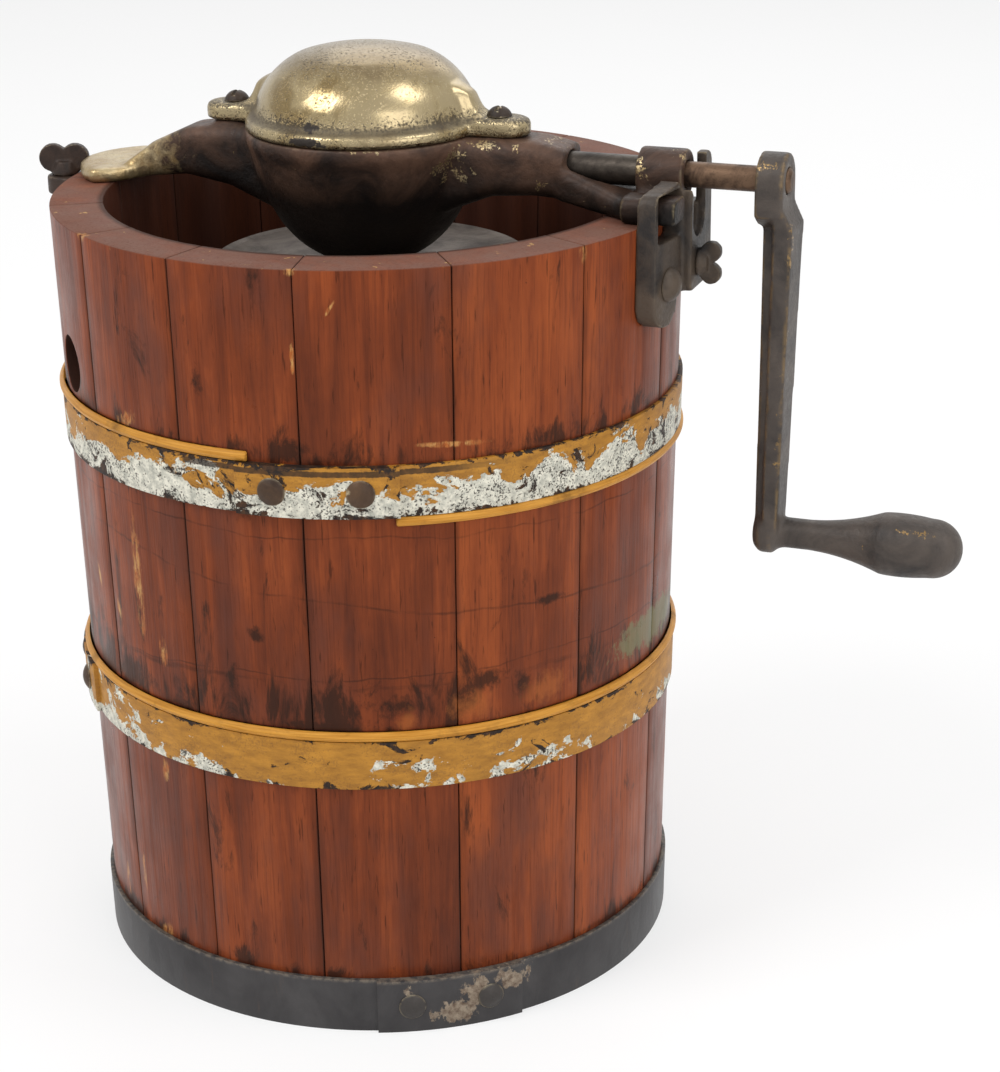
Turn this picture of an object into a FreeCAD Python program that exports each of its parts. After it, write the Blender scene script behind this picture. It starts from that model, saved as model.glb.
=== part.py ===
import FreeCAD, Part
import math
import os

import Sketcher
from FreeCAD import Placement, Rotation, Vector

# Hand crank ice cream freezer: a staved wooden tub with a tin can turned inside it.
# Origin on the floor under the middle of the tub, +Z up, +X out along the crank shaft.
# Lengths are millimetres.

TUB = {
    "tub_height": 249.0,
    "top_radius": 100.0,
    "base_radius": 94.3,
    "stave_wall": 16.7,
    "stave_joint": 0.2,
    "board_height": 14.0,
    "board_thick": 13.0,
    "croze_depth": 5.0,
    "board_play": 0.3,
    "drain_height": 203.6,
    "drain_radius": 9.0,
    "hoop_thick": 1.4,
    "bottom_hoop_low": 0.0,
    "bottom_hoop_wide": 18.4,
    "lower_hoop_low": 85.7,
    "upper_hoop_low": 174.6,
    "hoop_wide": 15.8,
    "reed_wide": 3.2,
    "reed_proud": 2.4,
    "rivet_radius": 4.4,
    "rivet_proud": 1.8,
    "rivet_shank": 2.2,
}

GEARING = {
    "shaft_lift": 11.5,
    "shaft_radius": 3.95,
    "shaft_inner_end": 17.0,
    "running_fit": 0.08,
    "gear_outer": 27.0,
    "gear_inner": 19.0,
    "pinion_pitch": 9.0,
    "addendum": 1.3,
    "dedendum": 1.9,
    "tooth_root_half": 1.9,
    "tooth_tip_half": 0.55,
    "tooth_end_play": 0.4,
    "gear_rim": 1.6,
    "gear_rim_thick": 2.1,
    "gear_hub_radius": 13.0,
    "shaft_room": 2.5,
    "journal_radius": 9.0,
    "drive_end_radius": 7.5,
    "drive_key_wide": 5.0,
    "drive_fit": 0.2,
    "spindle_radius": 5.0,
    "sleeve_radius": 4.7,
    "pinion_hub_radius": 7.0,
    "pinion_hub_long": 4.0,
}

FRAME = {
    "bowl_drop": 20.5,
    "bowl_floor_thick": 4.5,
    "bowl_rim_radius": 38.0,
    "bowl_lift": 20.3,
    "bowl_wall": 2.6,
    "pad_thick": 4.5,
    "pad_inset": 0.4,
    "pad_long": 23.6,
    "pad_half": 20.0,
    "arm_start": 18.0,
    "boss_inset": 9.7,
    "boss_long": 14.8,
    "boss_radius": 7.75,
    "foot_inset": 17.0,
    "tongue_past": 7.2,
    "tongue_near": 22.5,
    "tongue_far": 10.0,
    "tongue_high": 8.0,
    "ear_screw_reach": 44.5,
    "ear_boss_radius": 7.3,
    "ear_end_radius": 7.2,
    "ear_thick": 5.6,
    "ear_past": 2.7,
    "ear_web_half": 4.6,
    "ear_web_high": 15.0,
    "dome_roll": 4.0,
    "dome_rise": 25.8,
    "dome_wall": 2.8,
    "socket_drop": 9.6,
    "socket_roof": 3.8,
    "socket_wall": 4.5,
    "tap_deep": 6.0,
    "ear_tap_deep": 3.0,
    "screw_radius": 2.2,
    "screw_head_radius": 4.0,
    "screw_head_high": 3.0,
    "screw_slot": 1.2,
}

CRANK = {
    "crank_throw": 111.8,
    "crank_past": 27.6,
    "hub_long": 8.8,
    "hub_radius": 8.5,
    "hub_drop": 13.0,
    "arm_set_back": 5.7,
    "arm_top_thick": 6.1,
    "arm_top_half": 8.0,
    "arm_lean": 2.8,
    "arm_low_thick": 5.0,
    "arm_low_half": 6.2,
    "rib_deep": 4.0,
    "rib_half": 3.0,
    "elbow_radius": 7.0,
    "neck_radius": 4.8,
    "grip_radius": 9.7,
    "grip_past": 9.6,
    "grip_long": 47.8,
}

CAN = {
    "can_radius": 49.0,
    "can_wall": 0.8,
    "can_skirt": 3.0,
    "can_drop": 25.0,
    "lid_rise": 2.3,
    "lid_lip": 2.0,
    "lid_skirt": 12.0,
    "lid_hub_radius": 13.0,
    "lid_flange_radius": 18.0,
    "lid_flange_thick": 2.5,
    "pintle_radius": 5.0,
    "pintle_long": 8.0,
    "pintle_fillet": 1.0,
    "cup_deep": 3.5,
    "pivot_plate_radius": 18.0,
    "pivot_plate_thick": 2.5,
    "pivot_cup_radius": 9.0,
    "pivot_stud_radius": 4.5,
    "pivot_stud_long": 11.0,
    "dasher_half_thick": 2.5,
    "dasher_bar_inner": 30.0,
    "dasher_bar_outer": 36.5,
    "dasher_clear": 8.0,
    "dasher_headroom": 20.0,
    "dasher_bar_wide": 8.0,
    "dasher_hub_radius": 9.0,
    "scraper_thick": 5.0,
    "scraper_gap": 0.6,
}

FASTENERS = {
    "catch_near": 26.0,
    "catch_far": 14.0,
    "catch_thick": 5.8,
    "catch_lift": 13.0,
    "catch_drop": 31.5,
    "catch_lobe": 7.5,
    "shoulder_lift": 1.5,
    "window_margin": 1.2,
    "window_drop": 5.0,
    "yoke_thick": 3.0,
    "yoke_gap": 0.5,
    "yoke_slot_half": 6.0,
    "yoke_slot_drop": 18.7,
    "yoke_lift": 5.5,
    "yoke_foot": 7.0,
    "wing_drop": 15.3,
    "wing_radius": 3.0,
    "wing_lobe": 3.2,
    "wing_span": 6.6,
    "wing_thick": 3.2,
    "wing_stem": 0.9,
    "catch_screw_drop": 18.6,
    "catch_screw_radius": 5.5,
    "catch_screw_proud": 3.6,
    "thumb_past": 8.5,
    "thumb_span": 8.2,
    "thumb_lobe": 4.6,
    "lug_drop": 2.5,
    "lug_thick": 6.0,
    "lug_half": 6.0,
    "bracket_half": 9.0,
    "bracket_drop": 44.0,
    "bracket_thick": 4.0,
    "bracket_screw_lift": 7.0,
    "bracket_screw_pitch": 16.0,
}

# Where one stave meets the next, in degrees round from +X.
# The tub was made from boards of slightly different widths.
STAVE_JOINTS = (
    -3.8, 21.0, 44.5, 69.0, 92.0, 117.0, 140.0, 164.5,
    187.5, 210.2, 233.8, 257.0, 280.0, 306.2, 331.4, 356.2,
)
DRAIN_STAVE = 10

GEAR_TEETH = 30
PINION_TEETH = 10

# Hoop laps, in degrees round from +X: where the lap ends, and how far the lap reaches back.
UPPER_LAP_END = 296.7
LOWER_LAP_END = 222.6
BOTTOM_LAP_END = 318.0
LAP_SWEEP = 28.0
RIVET_SPREAD = 15.0

# How far round from the shaft the catch's screw sits
CATCH_SCREW_TURN = -9.2


class Dim:
    """A length together with the sheet formula that gives it."""

    def __init__(self, text, value):
        self.text = text
        self.value = float(value)

    @staticmethod
    def of(other):
        return other if isinstance(other, Dim) else Dim(repr(float(other)), other)

    def __add__(self, other):
        other = Dim.of(other)
        return Dim("(%s + %s)" % (self.text, other.text), self.value + other.value)

    def __radd__(self, other):
        return Dim.of(other) + self

    def __sub__(self, other):
        other = Dim.of(other)
        return Dim("(%s - %s)" % (self.text, other.text), self.value - other.value)

    def __rsub__(self, other):
        return Dim.of(other) - self

    def __mul__(self, other):
        other = Dim.of(other)
        return Dim("(%s * %s)" % (self.text, other.text), self.value * other.value)

    def __rmul__(self, other):
        return Dim.of(other) * self

    def __truediv__(self, other):
        other = Dim.of(other)
        return Dim("(%s / %s)" % (self.text, other.text), self.value / other.value)

    def __neg__(self):
        return Dim("(0 - %s)" % self.text, -self.value)


class Sizes:
    """The driving dimensions, read as sizes.tub_height and so on."""

    def __init__(self, doc, groups):
        self.sheet = doc.addObject("Spreadsheet::Sheet", "Sizes")
        self.names = {}
        row = 1
        for group in groups:
            for name, value in group.items():
                self.sheet.set("A%d" % row, name)
                self.sheet.set("B%d" % row, str(value))
                self.sheet.setAlias("B%d" % row, name)
                self.names[name] = Dim("Sizes." + name, value)
                row += 1
        doc.recompute()

    def __getattr__(self, name):
        try:
            return self.names[name]
        except KeyError:
            raise AttributeError(name)


doc = FreeCAD.newDocument("IceCreamFreezer")
z = Sizes(doc, (TUB, GEARING, FRAME, CRANK, CAN, FASTENERS))
BODIES = []


# Small helpers for sketches and features

def make_body(name, base=None, turn=0.0, rotation=None):
    body = doc.addObject("PartDesign::Body", name)
    body.Label = name
    rotation = rotation or Rotation(Vector(0, 0, 1), turn)
    body.Placement = Placement(Vector(0, 0, 0), rotation)
    for axis, size in (base or {}).items():
        body.setExpression("Placement.Base." + axis, Dim.of(size).text)
    BODIES.append(body)
    return body


def origin_item(body, role):
    return [item for item in body.Origin.OriginFeatures if item.Role == role][0]


def new_sketch(body, name, plane, lift=None):
    sketch = body.newObject("Sketcher::SketchObject", name)
    sketch.AttachmentSupport = (origin_item(body, plane + "_Plane"), [""])
    sketch.MapMode = "FlatFace"
    if lift is not None:
        lift = Dim.of(lift)
        sketch.AttachmentOffset = Placement(Vector(0, 0, lift.value), Rotation())
        sketch.setExpression("AttachmentOffset.Base.z", lift.text)
    return sketch


def bind(sketch, kind, geometry, point, size):
    size = Dim.of(size)
    number = sketch.addConstraint(Sketcher.Constraint(kind, geometry, point, size.value))
    sketch.setExpression("Constraints[%d]" % number, size.text)


def arc_between(start, end, radius):
    """The short arc from start to end; a positive radius has its centre to the left.

    The arc itself always runs anticlockwise, as a sketch keeps it."""
    middle = (start + end) * 0.5
    along = end - start
    half = along.Length / 2
    size = max(abs(radius), half * 1.0001)
    height = math.sqrt(size * size - half * half)
    left = Vector(-along.y, along.x, 0).normalize()
    side = 1.0 if radius > 0 else -1.0
    centre = middle + left * (side * height)
    through = centre - left * (side * size)
    if radius < 0:
        start, end = end, start
    return Part.Arc(start, through, end)


def outline(body, name, plane, corners, lift=None):
    """A closed outline. A corner is (u, v), or (u, v, radius) where an arc leads to it."""
    sketch = new_sketch(body, name, plane, lift)
    points = [Vector(Dim.of(c[0]).value, Dim.of(c[1]).value, 0) for c in corners]
    count = len(corners)
    starts = []
    for index in range(count):
        after = (index + 1) % count
        if len(corners[after]) == 3:
            radius = Dim.of(corners[after][2])
            shape = arc_between(points[index], points[after], radius.value)
            edge = sketch.addGeometry(shape, False)
            starts.append((edge, 1, 2) if radius.value > 0 else (edge, 2, 1))
        else:
            edge = sketch.addGeometry(Part.LineSegment(points[index], points[after]), False)
            starts.append((edge, 1, 2))
    for index in range(count):
        edge, first, last = starts[index]
        after = starts[(index + 1) % count]
        sketch.addConstraint(Sketcher.Constraint("Coincident", edge, last, after[0], after[1]))
        bind(sketch, "DistanceX", edge, first, corners[index][0])
        bind(sketch, "DistanceY", edge, first, corners[index][1])
    for index in range(count):
        after = (index + 1) % count
        if len(corners[after]) == 3:
            radius = Dim.of(corners[after][2])
            text = radius.text if radius.value > 0 else "(0 - %s)" % radius.text
            edge = starts[index][0]
            number = sketch.addConstraint(Sketcher.Constraint("Radius", edge, abs(radius.value)))
            sketch.setExpression("Constraints[%d]" % number, text)
    return sketch


def circles(body, name, plane, rounds, lift=None):
    """Circles given as (u, v, radius)."""
    sketch = new_sketch(body, name, plane, lift)
    for u, v, radius in rounds:
        u, v, radius = Dim.of(u), Dim.of(v), Dim.of(radius)
        shape = Part.Circle(Vector(u.value, v.value, 0), Vector(0, 0, 1), radius.value)
        edge = sketch.addGeometry(shape, False)
        bind(sketch, "DistanceX", edge, 3, u)
        bind(sketch, "DistanceY", edge, 3, v)
        number = sketch.addConstraint(Sketcher.Constraint("Radius", edge, radius.value))
        sketch.setExpression("Constraints[%d]" % number, radius.text)
    return sketch


def add_axis(sketch, u, v, upright):
    """A construction line to turn a profile round, up or across through (u, v)."""
    u, v = Dim.of(u), Dim.of(v)
    start = Vector(u.value, v.value, 0)
    end = start + (Vector(0, 10, 0) if upright else Vector(10, 0, 0))
    edge = sketch.addGeometry(Part.LineSegment(start, end), True)
    bind(sketch, "DistanceX", edge, 1, u)
    bind(sketch, "DistanceY", edge, 1, v)
    bind(sketch, "DistanceX", edge, 2, u if upright else u + 10)
    bind(sketch, "DistanceY", edge, 2, v + 10 if upright else v)
    return (sketch, ["Axis0"])


def turned(body, name, sketch, axis=None, kind="Revolution", sweep=360.0, middle=False):
    feature = body.newObject("PartDesign::" + kind, name)
    feature.Profile = sketch
    feature.ReferenceAxis = axis or (sketch, ["V_Axis"])
    feature.Angle = sweep
    feature.Midplane = middle
    return feature


def padded(body, name, sketch, length, both=False, back=False):
    feature = body.newObject("PartDesign::Pad", name)
    feature.Profile = sketch
    length = Dim.of(length)
    feature.Length = length.value
    feature.setExpression("Length", length.text)
    if both:
        feature.SideType = "Symmetric"
    feature.Reversed = back
    return feature


def cut(body, name, sketch, length=None, forward=False):
    """A pocket from the sketch plane, forward along its normal or back against it."""
    feature = body.newObject("PartDesign::Pocket", name)
    feature.Profile = sketch
    if length is None:
        feature.Type = "ThroughAll"
    else:
        length = Dim.of(length)
        feature.Length = length.value
        feature.setExpression("Length", length.text)
    feature.Reversed = forward
    return feature


def lofted(body, name, first, others):
    feature = body.newObject("PartDesign::AdditiveLoft", name)
    feature.Profile = first
    feature.Sections = [(other, [""]) for other in others]
    feature.Ruled = True
    return feature


def around(body, name, feature, axis, count, sweep=360.0):
    pattern = body.newObject("PartDesign::PolarPattern", name)
    pattern.Originals = feature if isinstance(feature, list) else [feature]
    pattern.Axis = (origin_item(body, axis + "_Axis"), [""])
    pattern.Angle = sweep
    pattern.Occurrences = count
    body.Tip = pattern
    return pattern


def cap_radius(half, rise):
    """The radius of a round cap of a given half width and rise, centred on its own axis."""
    return (half * half + rise * rise) / (rise * 2)


def box_corners(u_low, u_high, v_low, v_high):
    return [(u_low, v_low), (u_high, v_low), (u_high, v_high), (u_low, v_high)]


# Heights and reaches that follow from the tub's rim

rim = z.tub_height
shaft_height = rim + z.shaft_lift
bowl_floor_low = rim - z.bowl_drop
bowl_rim_height = rim + z.bowl_lift
dome_height = bowl_rim_height + z.dome_rise
can_rim_height = rim - z.can_drop
lid_height = can_rim_height + z.lid_rise
dasher_high = can_rim_height - z.dasher_headroom
catch_top = rim + z.catch_lift
catch_low = rim - z.catch_drop
catch_shoulder = rim + z.shoulder_lift
window_low = rim - z.window_drop
yoke_slot_low = shaft_height - z.yoke_slot_drop
yoke_high = shaft_height + z.yoke_lift
wing_height = rim - z.wing_drop
catch_screw_height = rim - z.catch_screw_drop
lug_top = rim - z.lug_drop
bracket_low = rim - z.bracket_drop
bracket_screw_low = bracket_low + z.bracket_screw_lift

pad_reach = z.top_radius - z.pad_inset
pad_inner = pad_reach - z.pad_long
boss_inner = z.top_radius - z.boss_inset
boss_outer = boss_inner + z.boss_long
foot_inner = z.top_radius - z.foot_inset
tongue_reach = z.top_radius + z.tongue_past
catch_outer = z.top_radius + z.catch_thick
yoke_outer = boss_outer + z.yoke_gap + z.yoke_thick
arm_middle = (z.ear_screw_reach + pad_inner) / 2
hood_end = foot_inner - 15
thumb_reach = z.top_radius + z.thumb_past
hub_inner = z.top_radius + z.crank_past
hub_outer = hub_inner + z.hub_long
arm_top_inner = hub_inner + z.arm_set_back
arm_top_outer = arm_top_inner + z.arm_top_thick
grip_start = hub_outer + z.grip_past
grip_end = grip_start + z.grip_long

# Tub

taper = (z.top_radius - z.base_radius) / z.tub_height
board_top = z.board_height + z.board_thick
plate_top = board_top + z.pivot_plate_thick
plate_screw_reach = z.pivot_plate_radius - z.screw_head_radius - 1
pintle_top = plate_top + z.pintle_long
can_floor = pintle_top - z.cup_deep
socket_low = dome_height - z.socket_drop
socket_top = dome_height - z.socket_roof
stud_top = pintle_top + z.running_fit + z.cup_deep + z.pivot_stud_long
dasher_low = stud_top + 1 - z.dasher_clear


def outer_at(height):
    return z.base_radius + taper * height


def inner_at(height):
    return outer_at(height) - z.stave_wall


def make_stave(number, start, end):
    body = make_body("stave_%02d" % number, turn=(start + end) / 2)
    profile = outline(body, "StaveProfile", "XZ", [
        (outer_at(0), 0),
        (z.top_radius, z.tub_height),
        (z.top_radius - z.stave_wall, z.tub_height),
        (inner_at(board_top), board_top),
        (inner_at(board_top) + z.croze_depth, board_top),
        (inner_at(z.board_height) + z.croze_depth, z.board_height),
        (inner_at(z.board_height), z.board_height),
        (inner_at(0), 0),
    ])
    stave = turned(body, "Stave", profile, middle=True)
    joint = z.stave_joint / z.top_radius * 57.2958
    stave.setExpression("Angle", (end - start - joint).text)
    if number == DRAIN_STAVE:
        hole = circles(body, "DrainHole", "YZ", [(0, z.drain_height, z.drain_radius)])
        cut(body, "Drain", hole, forward=True)
    return body


def make_tub_bottom():
    body = make_body("tub_bottom")
    edge = inner_at(z.board_height) + z.croze_depth - z.board_play
    profile = outline(body, "BoardProfile", "XZ", [
        (0, z.board_height), (edge, z.board_height), (edge, board_top), (0, board_top),
    ])
    turned(body, "Board", profile)
    pilots = circles(body, "PilotRounds", "XY", [
        (plate_screw_reach, 0, z.screw_radius), (-plate_screw_reach, 0, z.screw_radius),
    ], lift=board_top)
    cut(body, "Pilots", pilots, z.tap_deep)


def hoop_profile(body, name, low, wide, inset, thick):
    """The section of a band that lies on the tub, inset times the hoop's thickness out."""
    high = low + wide
    return outline(body, name, "XZ", [
        (outer_at(low) + inset, low),
        (outer_at(low) + inset + thick, low),
        (outer_at(high) + inset + thick, high),
        (outer_at(high) + inset, high),
    ])


def make_hoop(name, low, wide, lap_end):
    """A hoop with its riveted lap lying over the first turn."""
    body = make_body(name, turn=lap_end - LAP_SWEEP / 2)
    ring = hoop_profile(body, "BandProfile", low, wide, 0, z.hoop_thick)
    turned(body, "Band", ring)
    lap = hoop_profile(body, "LapProfile", low, wide, z.hoop_thick, z.hoop_thick)
    turned(body, "Lap", lap, sweep=LAP_SWEEP, middle=True)
    holes = circles(body, "RivetHole", "YZ", [(0, low + wide / 2, z.rivet_shank)])
    holes.AttachmentOffset = Placement(Vector(0, 0, 0), Rotation(Vector(0, 1, 0), -RIVET_SPREAD / 2))
    first = cut(body, "RivetHoles", holes, forward=True)
    around(body, "RivetHolePair", first, "Z", 2, RIVET_SPREAD)


def make_rivets():
    """The six hoop rivets: domed heads on the laps, shanks through both layers."""
    body = make_body("hoop_rivets")
    body.AllowCompound = True
    rows = (
        (z.upper_hoop_low, z.hoop_wide, UPPER_LAP_END),
        (z.lower_hoop_low, z.hoop_wide, LOWER_LAP_END),
        (z.bottom_hoop_low, z.bottom_hoop_wide, BOTTOM_LAP_END),
    )
    for number, (low, wide, lap_end) in enumerate(rows, 1):
        height = low + wide / 2
        seat = outer_at(height + z.rivet_radius) + 2 * z.hoop_thick
        inner = outer_at(height) + taper * z.rivet_shank
        sketch = outline(body, "Rivet%dProfile" % number, "XZ", [
            (inner, height),
            (inner, height + z.rivet_shank),
            (seat, height + z.rivet_shank),
            (seat, height + z.rivet_radius),
            (seat + z.rivet_proud, height, -cap_radius(z.rivet_radius, z.rivet_proud)),
        ])
        turn = lap_end - LAP_SWEEP / 2 - RIVET_SPREAD / 2
        sketch.AttachmentOffset = Placement(Vector(0, 0, 0), Rotation(Vector(0, 1, 0), turn))
        axis = add_axis(sketch, 0, height, upright=False)
        first = turned(body, "Rivet%d" % number, sketch, axis=axis)
        around(body, "Rivet%dPair" % number, first, "Z", 2, RIVET_SPREAD)


def make_reed(name, low, start, end):
    """A split reed tacked round the tub beside a hoop, flat against the staves."""
    body = make_body(name, turn=start)
    high = low + z.reed_wide
    middle = low + z.reed_wide / 2
    profile = outline(body, "ReedProfile", "XZ", [
        (outer_at(low), low),
        (outer_at(low) + z.reed_proud / 2, low),
        (outer_at(middle) + z.reed_proud, middle),
        (outer_at(high) + z.reed_proud / 2, high),
        (outer_at(high), high),
    ])
    turned(body, "Reed", profile, sweep=end - start)


def make_pivot_plate():
    """The iron plate on the tub's floor, with the pintle that the can turns on."""
    body = make_body("bottom_pivot_plate")
    profile = outline(body, "PlateProfile", "XZ", [
        (0, board_top),
        (z.pivot_plate_radius, board_top),
        (z.pivot_plate_radius, plate_top),
        (z.pintle_radius + z.pintle_fillet, plate_top),
        (z.pintle_radius, plate_top + z.pintle_fillet),
        (z.pintle_radius, pintle_top - 1.5),
        (z.pintle_radius - 1.5, pintle_top),
        (0, pintle_top),
    ])
    turned(body, "Plate", profile)
    holes = circles(body, "PlateHoles", "XY", [
        (plate_screw_reach, 0, z.screw_radius), (-plate_screw_reach, 0, z.screw_radius),
    ], lift=plate_top)
    cut(body, "PlateScrewHoles", holes, z.pivot_plate_thick)
    screws = make_body("pivot_plate_screws")
    screws.AllowCompound = True
    screw_pair(screws, plate_screw_reach, plate_top, z.pivot_plate_thick + z.tap_deep)


def screw_pair(body, reach, seat, depth):
    """Two slotted round-head screws standing on the height seat, at plus and minus reach."""
    profile = outline(body, "ScrewProfile", "XZ", [
        (reach, seat - depth),
        (reach + z.screw_radius, seat - depth),
        (reach + z.screw_radius, seat),
        (reach + z.screw_head_radius, seat),
        (reach, seat + z.screw_head_high, cap_radius(z.screw_head_radius, z.screw_head_high)),
    ])
    axis = add_axis(profile, reach, seat, upright=True)
    screw = turned(body, "Screw", profile, axis=axis)
    slot = outline(body, "SlotProfile", "XY", box_corners(
        reach - z.screw_slot / 2, reach + z.screw_slot / 2,
        -z.screw_head_radius, z.screw_head_radius,
    ), lift=seat + z.screw_head_high * 0.55)
    groove = cut(body, "Slot", slot, forward=True)
    around(body, "ScrewPair", [screw, groove], "Z", 2)


# Gears: straight bevel teeth that all point to where the shaft meets the spindle

def cone_height(radius, depth):
    """How far below the shaft a line towards the gears' common point lies at a radius."""
    return radius * (z.pinion_pitch + depth) / z.gear_outer


def tooth_section(body, name, reach, side):
    """A wheel tooth's section, square to the wheel's radius; side is -1 below the shaft."""
    share = reach / z.gear_outer
    root = shaft_height + side * cone_height(reach, z.dedendum + 0.4)
    tip = shaft_height + side * cone_height(reach, -z.addendum)
    return outline(body, name, "YZ", [
        (-share * z.tooth_root_half, root),
        (-share * z.tooth_tip_half, tip),
        (share * z.tooth_tip_half, tip),
        (share * z.tooth_root_half, root),
    ], lift=reach)


def wheel_teeth(body, side):
    outer = tooth_section(body, "ToothOuter", z.gear_outer, side)
    inner = tooth_section(body, "ToothInner", z.gear_inner, side)
    tooth = lofted(body, "Tooth", outer, [inner])
    around(body, "Teeth", tooth, "Z", GEAR_TEETH)


def wheel_face(side):
    """The toothed side of a wheel's profile, from its bore outwards to its rim."""
    outer = z.gear_outer + z.gear_rim
    face = shaft_height + side * (z.shaft_radius + z.shaft_room)
    return [
        (z.spindle_radius, face),
        (z.gear_inner - 3, face),
        (z.gear_inner - 1, shaft_height + side * cone_height(z.gear_inner - 1, z.dedendum)),
        (z.gear_outer, shaft_height + side * cone_height(z.gear_outer, z.dedendum)),
        (outer, shaft_height + side * cone_height(z.gear_outer, z.dedendum)),
        (outer, rim_back(side)),
        (z.gear_hub_radius, rim_back(side) + side * 5),
    ]


def rim_back(side):
    return shaft_height + side * (cone_height(z.gear_outer, z.dedendum) + z.gear_rim_thick)


def make_lower_gear():
    """The wheel that turns the can, and the keyed hub it is pressed on."""
    turn = 180.0 / GEAR_TEETH
    body = make_body("lower_gear", turn=turn)
    seat = z.gear_hub_radius - 2
    face = wheel_face(-1)
    profile = outline(body, "LowerGearProfile", "XZ", [(seat, face[0][1])] + face[1:] + [
        (seat, face[-1][1]),
    ])
    turned(body, "LowerGearBlank", profile)
    wheel_teeth(body, -1)

    hub = make_body("lower_gear_hub", turn=turn)
    bore = z.spindle_radius + z.running_fit
    floor_top = bowl_floor_low + z.bowl_floor_thick
    journal_end = bowl_floor_low - 0.3
    hub_end = lid_height - z.lid_skirt
    profile = outline(hub, "LowerHubProfile", "XZ", [
        (bore, face[0][1]),
        (seat, face[0][1]),
        (seat, face[-1][1]),
        (z.gear_hub_radius, face[-1][1]),
        (z.gear_hub_radius, floor_top + z.running_fit),
        (z.journal_radius, floor_top + z.running_fit),
        (z.journal_radius, journal_end),
        (z.drive_end_radius, journal_end),
        (z.drive_end_radius, hub_end),
        (bore, hub_end),
    ])
    turned(hub, "LowerHub", profile)
    half = z.drive_key_wide / 2
    key_profile = outline(hub, "KeyProfile", "XY", box_corners(
        z.spindle_radius + 1, z.journal_radius, -half, half,
    ), lift=hub_end)
    key = padded(hub, "Key", key_profile, journal_end - hub_end)
    around(hub, "Keys", key, "Z", 2)


def make_upper_gear():
    """The wheel that turns the dasher the other way, hung under the dome."""
    body = make_body("upper_gear", turn=180.0 / GEAR_TEETH)
    profile = outline(body, "UpperGearProfile", "XZ", wheel_face(1) + [
        (z.gear_hub_radius, rim_back(1) + 5),
        (z.journal_radius, rim_back(1) + 6),
        (z.journal_radius, socket_low - z.running_fit),
        (z.spindle_radius, socket_low - z.running_fit),
    ][1:])
    turned(body, "UpperGearBlank", profile)
    wheel_teeth(body, 1)


def pinion_section(body, name, reach):
    share = reach / z.gear_outer
    root = cone_height(reach, -z.dedendum - 0.5)
    return outline(body, name, "YZ", [
        (-share * z.tooth_root_half, root),
        (share * z.tooth_root_half, root),
        (share * z.tooth_tip_half, cone_height(reach, z.addendum)),
        (-share * z.tooth_tip_half, cone_height(reach, z.addendum)),
    ], lift=reach)


def make_pinion():
    """The driving pinion, cast with the long sleeve that runs in the frame's hood."""
    body = make_body("drive_pinion", base={"z": shaft_height})
    near = z.gear_inner + z.tooth_end_play
    far = z.gear_outer - z.tooth_end_play
    hub_end = far + z.pinion_hub_long
    profile = outline(body, "PinionProfile", "XZ", [
        (near, z.shaft_radius),
        (near, cone_height(near, -z.dedendum)),
        (far, cone_height(far, -z.dedendum)),
        (far, z.pinion_hub_radius),
        (hub_end, z.pinion_hub_radius),
        (hub_end, z.sleeve_radius),
        (boss_inner - z.running_fit, z.sleeve_radius),
        (boss_inner - z.running_fit, z.shaft_radius),
    ])
    turned(body, "PinionBlank", profile, axis=(profile, ["H_Axis"]))
    first = pinion_section(body, "PinionToothNear", near)
    last = pinion_section(body, "PinionToothFar", far)
    tooth = lofted(body, "PinionTooth", first, [last])
    around(body, "PinionTeeth", tooth, "X", PINION_TEETH)


def make_shaft():
    body = make_body("crank_shaft", base={"z": shaft_height})
    profile = outline(body, "ShaftProfile", "XZ", [
        (z.shaft_inner_end, 0),
        (z.shaft_inner_end, z.shaft_radius - 0.8),
        (z.shaft_inner_end + 0.8, z.shaft_radius),
        (hub_outer, z.shaft_radius),
        (hub_outer + 1, z.shaft_radius - 1.2),
        (hub_outer + 1, 0),
    ])
    turned(body, "Shaft", profile, axis=(profile, ["H_Axis"]))


# Gear frame: one casting that crosses the tub and carries the gears

def arm_section(body, name, reach, sides, low, high, round_off):
    """A rounded section of an arm, square to the shaft; sides is its two edges' places."""
    near, far = sides if isinstance(sides, tuple) else (-sides, sides)
    return outline(body, name, "YZ", [
        (near, low + round_off),
        (near + round_off, low, round_off),
        (far - round_off, low),
        (far, low + round_off, round_off),
        (far, high - round_off),
        (far - round_off, high, round_off),
        (near + round_off, high),
        (near, high - round_off, round_off),
    ], lift=reach)


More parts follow.
